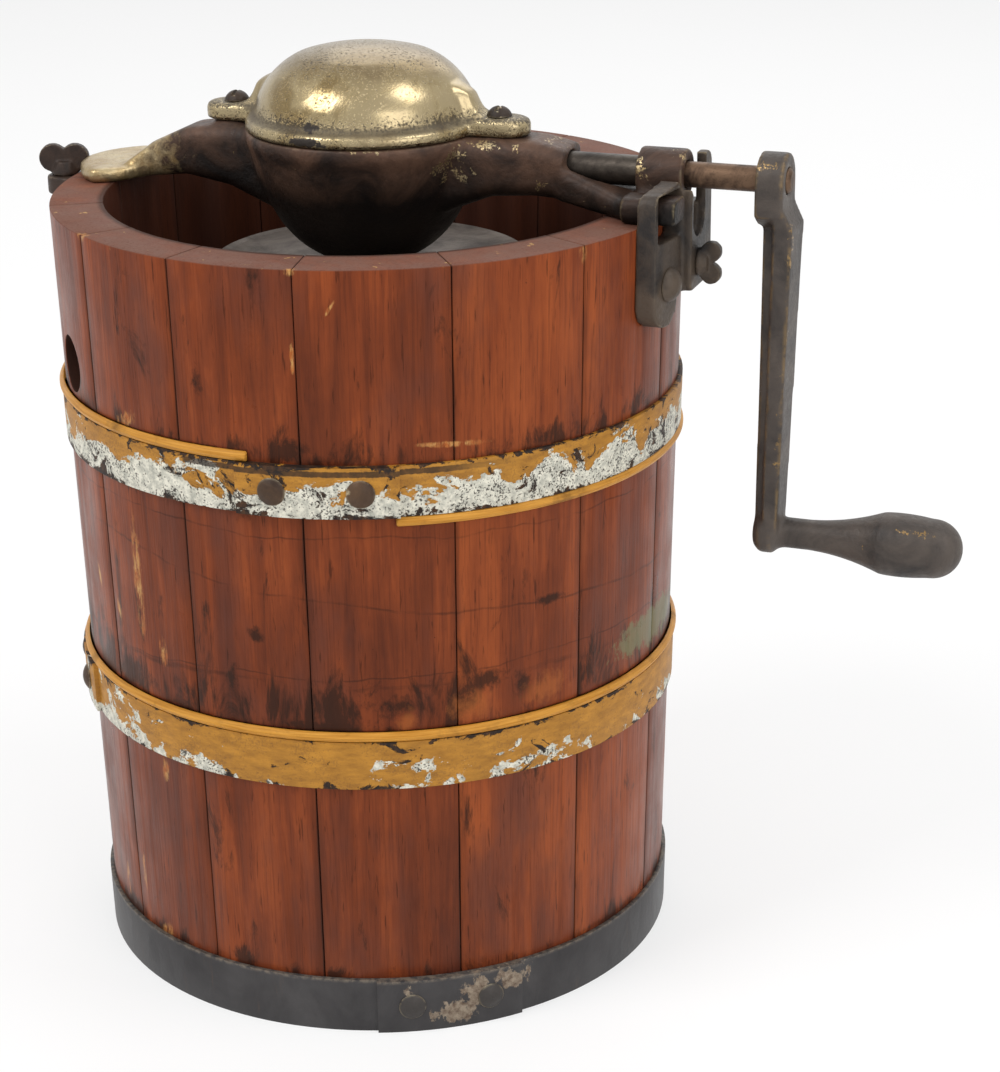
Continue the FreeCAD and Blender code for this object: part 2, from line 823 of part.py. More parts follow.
def make_frame():
    body = make_body("gear_frame")
    shaft = shaft_height
    top = bowl_rim_height
    floor = bowl_floor_low
    bowl = outline(body, "BowlProfile", "XZ", [
        (0, floor),
        (14.5, floor),
        (z.bowl_rim_radius - 8.3, floor + 14.5, 32),
        (z.bowl_rim_radius - 1.6, top - 8, 60),
        (z.bowl_rim_radius, top - 3.5),
        (z.bowl_rim_radius, top),
        (0, top),
    ])
    turned(body, "Bowl", bowl)

    # Left arm, swelling from the pad to the bowl
    left = [
        arm_section(body, "LeftArmA", -z.arm_start, 15, floor + 11, top - 0.6, 5),
        arm_section(body, "LeftArmB", -z.arm_start - 12, 13.5, floor + 15, top - 0.6, 5),
        arm_section(body, "LeftArmC", -z.ear_screw_reach, 11, rim - 0.5, top - 0.8, 5),
        arm_section(body, "LeftArmD", -arm_middle, 9.5, rim + 2, top - 3, 4),
        arm_section(body, "LeftArmE", -pad_inner + 4, 9.5, rim + 0.8, top - 8.4, 3),
        arm_section(body, "LeftArmF", -pad_inner - 5, 10.5, rim, rim + z.pad_thick + 0.8, 1.5),
    ]
    lofted(body, "LeftArm", left[0], left[1:])
    pad_round = z.pad_half
    middle = (pad_reach + pad_inner) / 2
    pad = outline(body, "PadOutline", "XY", [
        (-pad_inner, 8),
        (-middle, z.pad_half, 16),
        (-pad_reach, 0, pad_round * 1.2),
        (-middle, -z.pad_half, pad_round * 1.2),
        (-pad_inner, -8, 16),
    ], lift=rim)
    padded(body, "Pad", pad, z.pad_thick)

    # Right arm: the hood over the shaft, then a ridge that widens into the foot
    right = [
        arm_section(body, "RightArmA", z.arm_start, 15, floor + 11, top - 0.6, 5),
        arm_section(body, "RightArmB", z.arm_start + 14, 14, floor + 18, top - 0.6, 5),
        arm_section(body, "RightArmC", z.ear_screw_reach, 12, rim + 2.2, top - 0.4, 5),
        arm_section(body, "RightArmD", hood_end - 10, 10.5, rim + 3, shaft + 8.5, 5),
        arm_section(body, "RightArmE", hood_end, 9.5, rim + 2.4, shaft + 6.3, 4),
    ]
    lofted(body, "Hood", right[0], right[1:])
    ridge = [
        arm_section(body, "RidgeA", hood_end - 2, 9.5, rim + 2.2, shaft + 1.5, 3),
        arm_section(body, "RidgeB", hood_end + 8, (-12, 9.5), rim + 0.6, rim + 9.5, 3),
        arm_section(body, "RidgeC", foot_inner + 4, (-17, 10.5), rim, rim + 6.5, 2.4),
        arm_section(body, "RidgeD", boss_inner + 4, (-z.tongue_near, 11), rim,
                    rim + z.pad_thick + 0.6, 2),
    ]
    lofted(body, "Ridge", ridge[0], ridge[1:])
    foot = outline(body, "FootOutline", "XY", [
        (foot_inner + 2, -10),
        (boss_inner + 2, -z.tongue_near + 1),
        (z.top_radius - 1, -z.tongue_near + 1),
        (z.top_radius - 1, 10),
        (foot_inner + 5, 10),
        (foot_inner + 2, 8),
    ], lift=rim)
    padded(body, "Foot", foot, z.pad_thick)
    tongue = arm_section(body, "TongueSection", tongue_reach,
                         (z.tongue_near - z.tongue_far) / 2, rim, rim + z.tongue_high, 3)
    tongue_middle = (z.tongue_near + z.tongue_far) / 2
    tongue.AttachmentOffset = Placement(Vector(-tongue_middle.value, 0, tongue_reach.value),
                                        Rotation())
    tongue.setExpression("AttachmentOffset.Base.x", (-tongue_middle).text)
    padded(body, "Tongue", tongue, z.tongue_past + 10, back=True)

    # Outer bearing on its own pedestal
    boss = circles(body, "BossRound", "YZ", [(0, shaft, z.boss_radius)], lift=boss_inner)
    padded(body, "Boss", boss, boss_outer - boss_inner)
    pedestal = outline(body, "PedestalProfile", "YZ", [
        (-10, rim + z.pad_thick - 1),
        (10, rim + z.pad_thick - 1),
        (z.boss_radius - 1.2, shaft - 1),
        (-z.boss_radius + 1.2, shaft - 1),
    ], lift=boss_inner + 1)
    padded(body, "Pedestal", pedestal, 7)

    # Seats for the dome's ears, tapped for its screws
    seats = circles(body, "EarSeats", "XY", [
        (z.ear_screw_reach, 0, z.ear_boss_radius), (-z.ear_screw_reach, 0, z.ear_boss_radius),
    ], lift=top - 8)
    padded(body, "EarSeat", seats, 8)
    taps = circles(body, "EarTaps", "XY", [
        (z.ear_screw_reach, 0, z.screw_radius), (-z.ear_screw_reach, 0, z.screw_radius),
    ], lift=top)
    cut(body, "EarTap", taps, z.ear_tap_deep)

    # Room for the wheels, the journal's bearing and the bores for the shaft
    room = outline(body, "BowlRoom", "XZ", [
        (0, floor + z.bowl_floor_thick),
        (16, floor + z.bowl_floor_thick),
        (z.gear_outer, floor + 14.5, 32),
        (z.gear_outer + z.gear_rim + 2, floor + 22),
        (z.bowl_rim_radius - z.bowl_wall - 2.5, top - 8),
        (z.bowl_rim_radius - z.bowl_wall - 0.5, top + 1),
        (0, top + 1),
    ])
    turned(body, "Room", room, kind="Groove")
    bearing = circles(body, "JournalBore", "XY", [
        (0, 0, z.journal_radius + z.running_fit),
    ], lift=floor + 10)
    cut(body, "Journal", bearing, 20)
    sleeve = circles(body, "SleeveBore", "YZ", [
        (0, shaft, z.sleeve_radius + z.running_fit),
    ], lift=20)
    cut(body, "Sleeve", sleeve, boss_inner - 20, forward=True)
    relief = circles(body, "RidgeRelief", "YZ", [
        (0, shaft, z.sleeve_radius + 0.8),
    ], lift=hood_end + 2)
    cut(body, "Relief", relief, boss_inner - hood_end - 2, forward=True)
    bore = circles(body, "ShaftBore", "YZ", [
        (0, shaft, z.shaft_radius + z.running_fit),
    ], lift=boss_inner - 1)
    cut(body, "Bore", bore, boss_outer - boss_inner + 2, forward=True)


def make_dome():
    """The cover over the wheels, with an ear each side and a blind socket for the spindle."""
    body = make_body("dome_cover")
    low = bowl_rim_height
    high = dome_height
    edge = z.bowl_rim_radius
    profile = outline(body, "DomeProfile", "XZ", [
        (0, low),
        (edge, low),
        (edge, low + z.dome_roll - 1.8),
        (edge - 1.6, low + z.dome_roll, 2),
        (edge - 2.8, low + z.dome_roll + 0.6),
        (edge - 4.3, low + z.dome_roll + 6),
        (edge - 17.5, high - 3, 26),
        (0, high, cap_radius(edge - 17.5, Dim.of(3))),
    ])
    turned(body, "DomeOutside", profile)
    end = z.ear_screw_reach + z.ear_past
    ear = z.ear_end_radius
    ears = outline(body, "EarOutline", "XY", [
        (end, -ear),
        (end + ear, 0, ear),
        (end, ear, ear),
        (-end, ear),
        (-end - ear, 0, ear),
        (-end, -ear, ear),
    ], lift=low)
    padded(body, "Ears", ears, z.ear_thick)
    foot = z.ear_screw_reach - z.screw_head_radius - 0.3
    web = outline(body, "EarWeb", "XZ", [
        (edge - 9, low + 1),
        (foot, low + 1),
        (foot, low + z.ear_thick),
        (foot - 3.6, low + z.ear_web_high - 2.6, -12),
        (edge - 6, low + z.ear_web_high),
        (edge - 9, low + z.ear_web_high),
    ])
    around(body, "EarWebs", padded(body, "Web", web, z.ear_web_half * 2, both=True), "Z", 2)
    wall = z.dome_wall
    socket = z.spindle_radius + z.running_fit
    inside = outline(body, "DomeRoom", "XZ", [
        (0, low - 1),
        (edge - wall - 0.5, low - 1),
        (edge - wall - 1.4, low + 2),
        (edge - wall - 4.3, low + 9),
        (edge - wall - 16.3, high - wall - 3.4, 24),
        (socket + z.socket_wall, high - wall - 1.5, 60),
        (socket + z.socket_wall, socket_low),
        (socket, socket_low),
        (socket, socket_top),
        (0, socket_top),
    ])
    turned(body, "DomeInside", inside, kind="Groove")
    holes = circles(body, "EarHoles", "XY", [
        (z.ear_screw_reach, 0, z.screw_radius), (-z.ear_screw_reach, 0, z.screw_radius),
    ], lift=low + z.ear_thick)
    cut(body, "EarHole", holes, z.ear_thick)
    screws = make_body("dome_screws")
    screws.AllowCompound = True
    screw_pair(screws, z.ear_screw_reach, low + z.ear_thick, z.ear_thick + z.ear_tap_deep)


# Can, lid and dasher

def make_can():
    body = make_body("can_body")
    inner = z.can_radius - z.can_wall
    profile = outline(body, "CanProfile", "XZ", [
        (z.pivot_cup_radius, can_floor),
        (inner, can_floor),
        (inner, can_floor - z.can_skirt),
        (z.can_radius, can_floor - z.can_skirt),
        (z.can_radius, can_rim_height),
        (inner, can_rim_height),
        (inner, can_floor + z.can_wall),
        (z.pivot_cup_radius, can_floor + z.can_wall),
    ])
    turned(body, "Can", profile)

    pivot = make_body("can_pivot")
    bore = z.pintle_radius + z.running_fit
    flange = can_floor + z.can_wall
    roof = pintle_top + z.running_fit
    profile = outline(pivot, "PivotProfile", "XZ", [
        (bore, can_floor - z.can_skirt),
        (z.pivot_cup_radius, can_floor - z.can_skirt),
        (z.pivot_cup_radius, flange),
        (z.pivot_cup_radius + 5, flange),
        (z.pivot_cup_radius + 5, flange + 1.5),
        (z.pivot_cup_radius, flange + 1.5),
        (z.pivot_cup_radius, roof + 2),
        (z.pivot_stud_radius, roof + z.cup_deep),
        (z.pivot_stud_radius, stud_top),
        (0, stud_top),
        (0, roof),
        (bore, roof),
    ])
    turned(pivot, "Pivot", profile)


def make_lid():
    body = make_body("can_lid")
    under = lid_height - z.can_wall
    seat = z.can_radius + z.drive_fit
    profile = outline(body, "LidProfile", "XZ", [
        (z.lid_hub_radius, under),
        (seat, under),
        (seat, lid_height - z.lid_skirt),
        (seat + z.can_wall, lid_height - z.lid_skirt),
        (seat + z.can_wall, under - 1.4),
        (seat + z.lid_lip, under - 1.4),
        (seat + z.lid_lip, lid_height - 0.4),
        (seat + z.lid_lip - 0.8, lid_height + 0.4),
        (seat - 1, lid_height),
        (z.lid_hub_radius, lid_height),
    ])
    turned(body, "Lid", profile)

    hub = make_body("lid_hub", turn=180.0 / GEAR_TEETH)
    bore = z.drive_end_radius + z.drive_fit
    profile = outline(hub, "HubProfile", "XZ", [
        (bore, lid_height - z.lid_skirt - 2),
        (z.lid_hub_radius, lid_height - z.lid_skirt - 2),
        (z.lid_hub_radius, under - z.lid_flange_thick),
        (z.lid_flange_radius, under - z.lid_flange_thick),
        (z.lid_flange_radius, under),
        (z.lid_hub_radius, under),
        (z.lid_hub_radius, lid_height + 0.9),
        (bore, lid_height + 0.9),
    ])
    turned(hub, "Hub", profile)
    half = z.drive_key_wide / 2 + z.drive_fit
    reach = z.journal_radius + z.drive_fit
    keyway = outline(hub, "KeywayProfile", "XY", box_corners(-reach, reach, -half, half),
                     lift=lid_height + 0.9)
    cut(hub, "Keyway", keyway)


def make_dasher():
    stem = make_body("dasher_stem")
    low = stud_top + 1
    high = socket_top - 0.3
    profile = outline(stem, "StemProfile", "XZ", [
        (0, low), (z.spindle_radius, low), (z.spindle_radius, high), (0, high),
    ])
    turned(stem, "Stem", profile)

    body = make_body("dasher_frame")
    bar = z.dasher_bar_wide
    outer = outline(body, "PaddleOutline", "XZ", box_corners(
        -z.dasher_bar_outer, z.dasher_bar_outer, dasher_low, dasher_high))
    padded(body, "Paddle", outer, z.dasher_half_thick * 2, both=True)
    hub = z.dasher_hub_radius
    window = outline(body, "PaddleWindow", "XZ", box_corners(
        hub - 1, z.dasher_bar_inner, dasher_low + bar, dasher_high - bar))
    opening = body.newObject("PartDesign::Pocket", "Window")
    opening.Profile = window
    opening.SideType = "Symmetric"
    opening.Type = "Length"
    opening.Length = z.dasher_half_thick.value * 4
    opening.setExpression("Length", (z.dasher_half_thick * 4).text)
    around(body, "Windows", opening, "Z", 2)
    sleeve = outline(body, "SleeveProfile", "XZ", box_corners(
        0, hub, dasher_low, dasher_high + 4))
    turned(body, "PaddleSleeve", sleeve)
    bores = outline(body, "BoreProfile", "XZ", [
        (0, dasher_low - 1),
        (z.pivot_stud_radius + z.running_fit, dasher_low - 1),
        (z.pivot_stud_radius + z.running_fit, low),
        (z.spindle_radius, low),
        (z.spindle_radius, dasher_high + 5),
        (0, dasher_high + 5),
    ])
    turned(body, "PaddleBore", bores, kind="Groove")

    tip = z.can_radius - z.can_wall - z.scraper_gap
    half = z.scraper_thick / 2
    for name, turn in (("scraper_right", 0.0), ("scraper_left", 180.0)):
        blade = make_body(name, turn=turn)
        section = outline(blade, "BladeSection", "XY", [
            (z.dasher_bar_outer, -half),
            (tip - 4, -half),
            (tip - 0.4, -half * 0.2),
            (tip - 0.4, half * 0.2),
            (tip - 4, half),
            (z.dasher_bar_outer, half),
        ], lift=dasher_low + 2)
        padded(blade, "Blade", section, dasher_high - dasher_low - 4)


# Crank

def make_crank():
    """The crank arm, cast in one with its hub and its handle."""
    body = make_body("crank_handle", base={"z": shaft_height})
    hub = outline(body, "HubOutline", "YZ", [
        (z.hub_radius, 0),
        (0, z.hub_radius, z.hub_radius),
        (-z.hub_radius, 0, z.hub_radius),
        (-z.hub_radius, -z.hub_drop + 3),
        (-z.rib_half - 1, -z.hub_drop),
        (z.rib_half + 1, -z.hub_drop),
        (z.hub_radius, -z.hub_drop + 3),
    ], lift=hub_inner)
    padded(body, "HubPad", hub, hub_outer - hub_inner)

    low = -z.crank_throw
    start = -z.hub_radius
    lean = z.arm_lean
    shoulder = outline(body, "FaceShoulder", "XY", box_corners(
        arm_top_inner, hub_outer + 0.1, -z.arm_top_half, z.arm_top_half), lift=start + 1)
    face_top = outline(body, "FaceTop", "XY", box_corners(
        arm_top_inner, arm_top_outer, -z.arm_top_half, z.arm_top_half), lift=start - 5)
    face_low = outline(body, "FaceLow", "XY", box_corners(
        arm_top_outer - lean - z.arm_low_thick, arm_top_outer - lean,
        -z.arm_low_half, z.arm_low_half), lift=low)
    lofted(body, "ArmFace", shoulder, [face_top, face_low])
    rib_top = outline(body, "RibTop", "XY", box_corners(
        arm_top_inner - z.rib_deep, arm_top_inner + 0.5,
        -z.rib_half, z.rib_half), lift=start - 2)
    rib_low = outline(body, "RibLow", "XY", box_corners(
        arm_top_outer - lean - z.arm_low_thick - z.rib_deep + 1,
        arm_top_outer - lean - z.arm_low_thick + 0.5,
        -z.rib_half + 0.5, z.rib_half - 0.5), lift=low)
    lofted(body, "ArmRib", rib_top, [rib_low])

    back = arm_top_outer - lean - z.arm_low_thick - z.rib_deep + 1
    front = arm_top_outer - lean
    grip = outline(body, "GripProfile", "XZ", [
        (back, low),
        (back, low + z.elbow_radius - 2),
        (back + 2, low + z.elbow_radius),
        (front - 2, low + z.elbow_radius),
        (front + 2.5, low + z.neck_radius, 5),
        (grip_start, low + z.neck_radius),
        (grip_start + 23, low + z.grip_radius, 70),
        (grip_end - 10, low + z.grip_radius - 0.5, -60),
        (grip_end, low, -cap_radius(z.grip_radius - 0.5, Dim.of(10))),
    ])
    turned(body, "Grip", grip, axis=add_axis(grip, back, low, upright=False))
    hole = circles(body, "ShaftRound", "YZ", [(0, 0, z.shaft_radius)], lift=hub_outer)
    cut(body, "ShaftHole", hole, hub_outer - hub_inner)


# Catch and wing screw on the crank side, bracket and thumb screw on the other

def tub_groove(body):
    """Cuts a casting's back to the tub's own taper, so that it lies flat against it."""
    low = rim - 70
    high = rim + 50
    profile = outline(body, "TubSide", "XZ", [
        (0, low), (outer_at(low), low), (z.top_radius, rim), (z.top_radius, high), (0, high),
    ])
    turned(body, "TubSeat", profile, kind="Groove")


def make_catch():
    body = make_body("right_catch")
    near = -z.catch_near
    lobe = z.catch_lobe
    bar = -z.boss_radius - z.yoke_gap
    foot = wing_height - z.yoke_foot
    face = outline(body, "CatchFace", "YZ", [
        (near, catch_low + lobe),
        (near + lobe, catch_low, lobe),
        (near + lobe * 2, catch_low + lobe, lobe),
        (bar - 1, foot - 1),
        (z.catch_far - 4, foot - 1),
        (z.catch_far, foot + 3, 4),
        (z.catch_far, catch_shoulder),
        (bar, catch_shoulder),
        (bar, catch_top - 5),
        (bar - 3, catch_top - 1.5, 3),
        (near + 4, catch_top - 3),
        (near, catch_top - 7, 4),
    ], lift=catch_outer)
    padded(body, "Face", face, z.catch_thick + 14, back=True)
    tub_groove(body)
    outside = outline(body, "RoundedFront", "XZ", box_corners(
        catch_outer, catch_outer + 10, catch_low - 5, catch_top + 5))
    turned(body, "Rounding", outside, kind="Groove")
    slot = z.yoke_slot_half
    yoke_inner = boss_outer + z.yoke_gap
    yoke = outline(body, "YokeFace", "YZ", [
        (bar, foot + 2),
        (bar + 3, foot - 1, 3),
        (z.catch_far - 4, foot - 1),
        (z.catch_far, foot + 3, 4),
        (z.catch_far, yoke_high - 4),
        (z.catch_far - 4, yoke_high, 4),
        (slot + 1, yoke_high),
        (slot, yoke_slot_low + slot),
        (0, yoke_slot_low, -slot),
        (-slot, yoke_slot_low + slot, -slot),
        (-slot, catch_top - 6),
        (bar, catch_top - 4),
    ], lift=yoke_inner)
    padded(body, "Yoke", yoke, z.yoke_thick)
    base = yoke_inner - z.top_radius
    seat = outline(body, "YokeSeat", "YZ", box_corners(
        bar, z.catch_far - 1, foot + 1, yoke_slot_low - 0.5), lift=z.top_radius + 1)
    padded(body, "YokeBase", seat, base)
    cheek = outline(body, "CheekOutline", "YZ", box_corners(
        bar, -slot, wing_height, catch_shoulder), lift=z.top_radius + 1)
    padded(body, "Cheek", cheek, base)

    left = -z.tongue_near - z.window_margin
    right = -z.tongue_far + z.window_margin
    top = rim + z.tongue_high + z.window_margin
    window = outline(body, "WindowOutline", "YZ", [
        (left, window_low),
        (right, window_low),
        (right, top),
        (left, top),
    ], lift=z.top_radius - 12)
    cut(body, "Window", window, z.catch_thick + 14, forward=True)
    holes = circles(body, "CatchHoles", "YZ", [
        (0, wing_height, z.wing_radius + z.running_fit),
    ], lift=z.top_radius - 12)
    cut(body, "WingHole", holes, z.catch_thick + 24, forward=True)
    rounds = circles(body, "ScrewRounds", "YZ", [(0, catch_screw_height, z.screw_radius)])
    rounds.AttachmentOffset = Placement(Vector(0, 0, 0),
                                        Rotation(Vector(0, 1, 0), CATCH_SCREW_TURN))
    cut(body, "ScrewHole", rounds, forward=True)

    screw = make_body("right_catch_screw", base={"z": catch_screw_height},
                      turn=CATCH_SCREW_TURN)
    shank_end = outer_at(catch_screw_height)
    profile = outline(screw, "CatchScrewProfile", "XZ", [
        (shank_end, 0),
        (shank_end + taper * z.screw_radius, z.screw_radius),
        (catch_outer, z.screw_radius),
        (catch_outer, z.catch_screw_radius),
        (catch_outer + z.catch_screw_proud, 0,
         -cap_radius(z.catch_screw_radius, z.catch_screw_proud)),
    ])
    turned(screw, "CatchScrew", profile, axis=(profile, ["H_Axis"]))


def wing(body, span, lobe, seat, shank):
    """A two-lobed wing screw standing on the seat, turning about its own upright axis."""
    collar = z.wing_radius + 1.4
    profile = outline(body, "WingShank", "XZ", [
        (0, seat - shank),
        (z.wing_radius, seat - shank),
        (z.wing_radius, seat + z.running_fit),
        (collar, seat + z.running_fit),
        (collar, seat + z.running_fit + z.wing_stem),
        (collar - 1.2, seat + z.wing_stem + lobe * 0.8),
        (0, seat + z.wing_stem + lobe * 0.8),
    ])
    turned(body, "Shank", profile)
    middle = seat + z.wing_stem + lobe
    lobes = circles(body, "LobeRound", "XZ", [(span - lobe, middle, lobe)])
    ear = padded(body, "Lobe", lobes, z.wing_thick, both=True)
    around(body, "Lobes", ear, "Z", 2)


def make_wing_screw():
    turn = Rotation(Vector(0, 1, 0), 90)
    body = make_body("right_wing_screw", base={"x": yoke_outer, "z": wing_height},
                     rotation=turn)
    shank = yoke_outer - outer_at(wing_height) - 1
    wing(body, z.wing_span, z.wing_lobe, Dim.of(0), shank)


def make_thumb_screw():
    body = make_body("left_thumb_screw", base={"x": -thumb_reach, "z": lug_top}, turn=20.0)
    wing(body, z.thumb_span, z.thumb_lobe, Dim.of(0), z.lug_thick + 5)


def make_left_bracket():
    body = make_body("left_bracket", turn=180.0)
    half = z.bracket_half
    face = outer_at(bracket_low) + z.bracket_thick + 1
    plate = outline(body, "BracketFace", "YZ", [
        (-half + 4, bracket_low, 4),
        (half - 4, bracket_low),
        (half, bracket_low + 4, 4),
        (half, lug_top - 5),
        (half - 3, lug_top),
        (-half + 3, lug_top),
        (-half, lug_top - 5),
        (-half, bracket_low + 4),
    ], lift=face)
    padded(body, "BracketPlate", plate, 16, back=True)
    lug = outline(body, "LugOutline", "XY", [
        (face - 2, -half + 2),
        (thumb_reach, -z.lug_half),
        (thumb_reach + z.lug_half, 0, z.lug_half),
        (thumb_reach, z.lug_half, z.lug_half),
        (face - 2, half - 2),
    ], lift=lug_top - z.lug_thick)
    padded(body, "Lug", lug, z.lug_thick)
    tub_groove(body)
    hole = circles(body, "ThumbHole", "XY", [
        (thumb_reach, 0, z.wing_radius + z.running_fit),
    ], lift=lug_top)
    cut(body, "ThumbBore", hole, z.lug_thick)
    upper = bracket_screw_low + z.bracket_screw_pitch
    rounds = circles(body, "BracketRounds", "YZ", [
        (0, bracket_screw_low, z.screw_radius), (0, upper, z.screw_radius),
    ], lift=face - 20)
    cut(body, "BracketHoles", rounds, 30, forward=True)

    screws = make_body("left_bracket_screws", turn=180.0)
    screws.AllowCompound = True
    for number, height in enumerate((bracket_screw_low, upper), 1):
        profile = outline(screws, "BracketScrew%dProfile" % number, "XZ", [
            (outer_at(height), height),
            (outer_at(height) + taper * z.screw_radius, height + z.screw_radius),
            (face, height + z.screw_radius),
            (face, height + z.screw_head_radius),
            (face + z.screw_head_high, height,
             -cap_radius(z.screw_head_radius, z.screw_head_high)),
        ])
        axis = add_axis(profile, 0, height, upright=False)
        turned(screws, "BracketScrew%d" % number, profile, axis=axis)


def check(objects):
    """Stops on any failed object or bad shape before a file is written."""
    failed = [item for item in objects if "Invalid" in item.State or "Error" in item.State]
    if failed:
        raise RuntimeError("failed: %s" % ", ".join(
            "%s (%s)" % (item.Name, item.getStatusString()) for item in failed))
    for body in BODIES:
        if body.Shape.isNull() or not body.Shape.isValid():
            raise RuntimeError("%s has no valid shape" % body.Label)


for number in range(len(STAVE_JOINTS) - 1):
    make_stave(number + 1, STAVE_JOINTS[number], STAVE_JOINTS[number + 1])
make_tub_bottom()
make_hoop("bottom_hoop", z.bottom_hoop_low, z.bottom_hoop_wide, BOTTOM_LAP_END)
make_hoop("lower_hoop", z.lower_hoop_low, z.hoop_wide, LOWER_LAP_END)
make_hoop("upper_hoop", z.upper_hoop_low, z.hoop_wide, UPPER_LAP_END)
make_rivets()
make_reed("lower_reed", z.lower_hoop_low + z.hoop_wide, 190.0, 395.0)
make_reed("upper_reed_left", z.upper_hoop_low + z.hoop_wide, 195.0, 270.7)
make_reed("upper_reed_right", z.upper_hoop_low - z.reed_wide, 296.0, 395.0)
make_pivot_plate()
make_frame()
make_dome()
make_catch()
make_left_bracket()
make_thumb_screw()
make_wing_screw()
make_shaft()
make_pinion()
make_crank()
make_can()
make_lid()
make_lower_gear()
make_upper_gear()
make_dasher()

doc.recompute()
check(doc.Objects)
os.makedirs("parts", exist_ok=True)
for body in BODIES:
    body.Shape.exportStep("parts/%s.step" % body.Label)
print("%d sub-parts written" % len(BODIES))
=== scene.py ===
import logging
import math
from collections.abc import Callable
from dataclasses import dataclass, field
from enum import Enum
from typing import Any

import bpy
from mathutils import Matrix, Vector


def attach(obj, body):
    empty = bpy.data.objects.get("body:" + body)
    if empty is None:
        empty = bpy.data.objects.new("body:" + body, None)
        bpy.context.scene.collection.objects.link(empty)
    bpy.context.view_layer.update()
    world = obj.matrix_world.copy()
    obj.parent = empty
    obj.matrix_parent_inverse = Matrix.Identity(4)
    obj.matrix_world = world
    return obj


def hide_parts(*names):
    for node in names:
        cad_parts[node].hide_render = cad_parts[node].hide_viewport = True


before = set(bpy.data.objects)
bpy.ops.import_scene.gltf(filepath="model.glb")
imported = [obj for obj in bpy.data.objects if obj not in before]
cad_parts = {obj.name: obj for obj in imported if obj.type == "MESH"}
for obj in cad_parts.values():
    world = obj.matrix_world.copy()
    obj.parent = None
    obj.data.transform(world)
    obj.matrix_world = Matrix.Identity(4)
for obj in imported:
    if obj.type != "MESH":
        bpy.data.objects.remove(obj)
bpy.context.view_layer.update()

log = logging.getLogger("freezer")

Socket = Any
Piece = bpy.types.Object
Colour = tuple[float, float, float, float]


def tint(code: str) -> Colour:
    """Reads a colour written as on a paint chart.

    Args:
        code: Six hexadecimal digits, red, green and blue as they show on screen.

    Returns:
        The same colour as light levels, with full opacity.
    """
    parts = [int(code[start:start + 2], 16) / 255 for start in (0, 2, 4)]
    levels = [part / 12.92 if part <= 0.04045 else ((part + 0.055) / 1.055) ** 2.4
              for part in parts]
    return (levels[0], levels[1], levels[2], 1.0)


class Body(Enum):
    """What a dressed piece moves with."""

    TUB = "tub"
    CRANK = "crank"
    THUMB_SCREW = "thumb_screw"
    WING_SCREW = "wing_screw"


class Slot(Enum):
    """Names for the finishes of the dressed pieces."""

    WOOD = "varnished_wood"
    HOOP = "painted_hoop"
    DARK_HOOP = "worn_dark_hoop"
    RIVET = "rivet_iron"
    REED = "split_reed"
    IRON = "dark_iron"
    NICKEL = "worn_nickel"
    STEEL = "bare_steel"


@dataclass(frozen=True)
class Mark:
    """A worn or stained place on a surface, as an ellipse round a point, in metres."""

    place: tuple[float, float, float]
    wide: float
    high: float
    lean: float = 0.0


def marks_at(*rows: tuple[float, ...]) -> tuple[Mark, ...]:
    """Marks from rows of place, width and height in millimetres, and lean."""
    return tuple(Mark((row[0] / 1000, row[1] / 1000, row[2] / 1000), row[3] / 1000,
                      row[4] / 1000, *row[5:]) for row in rows)


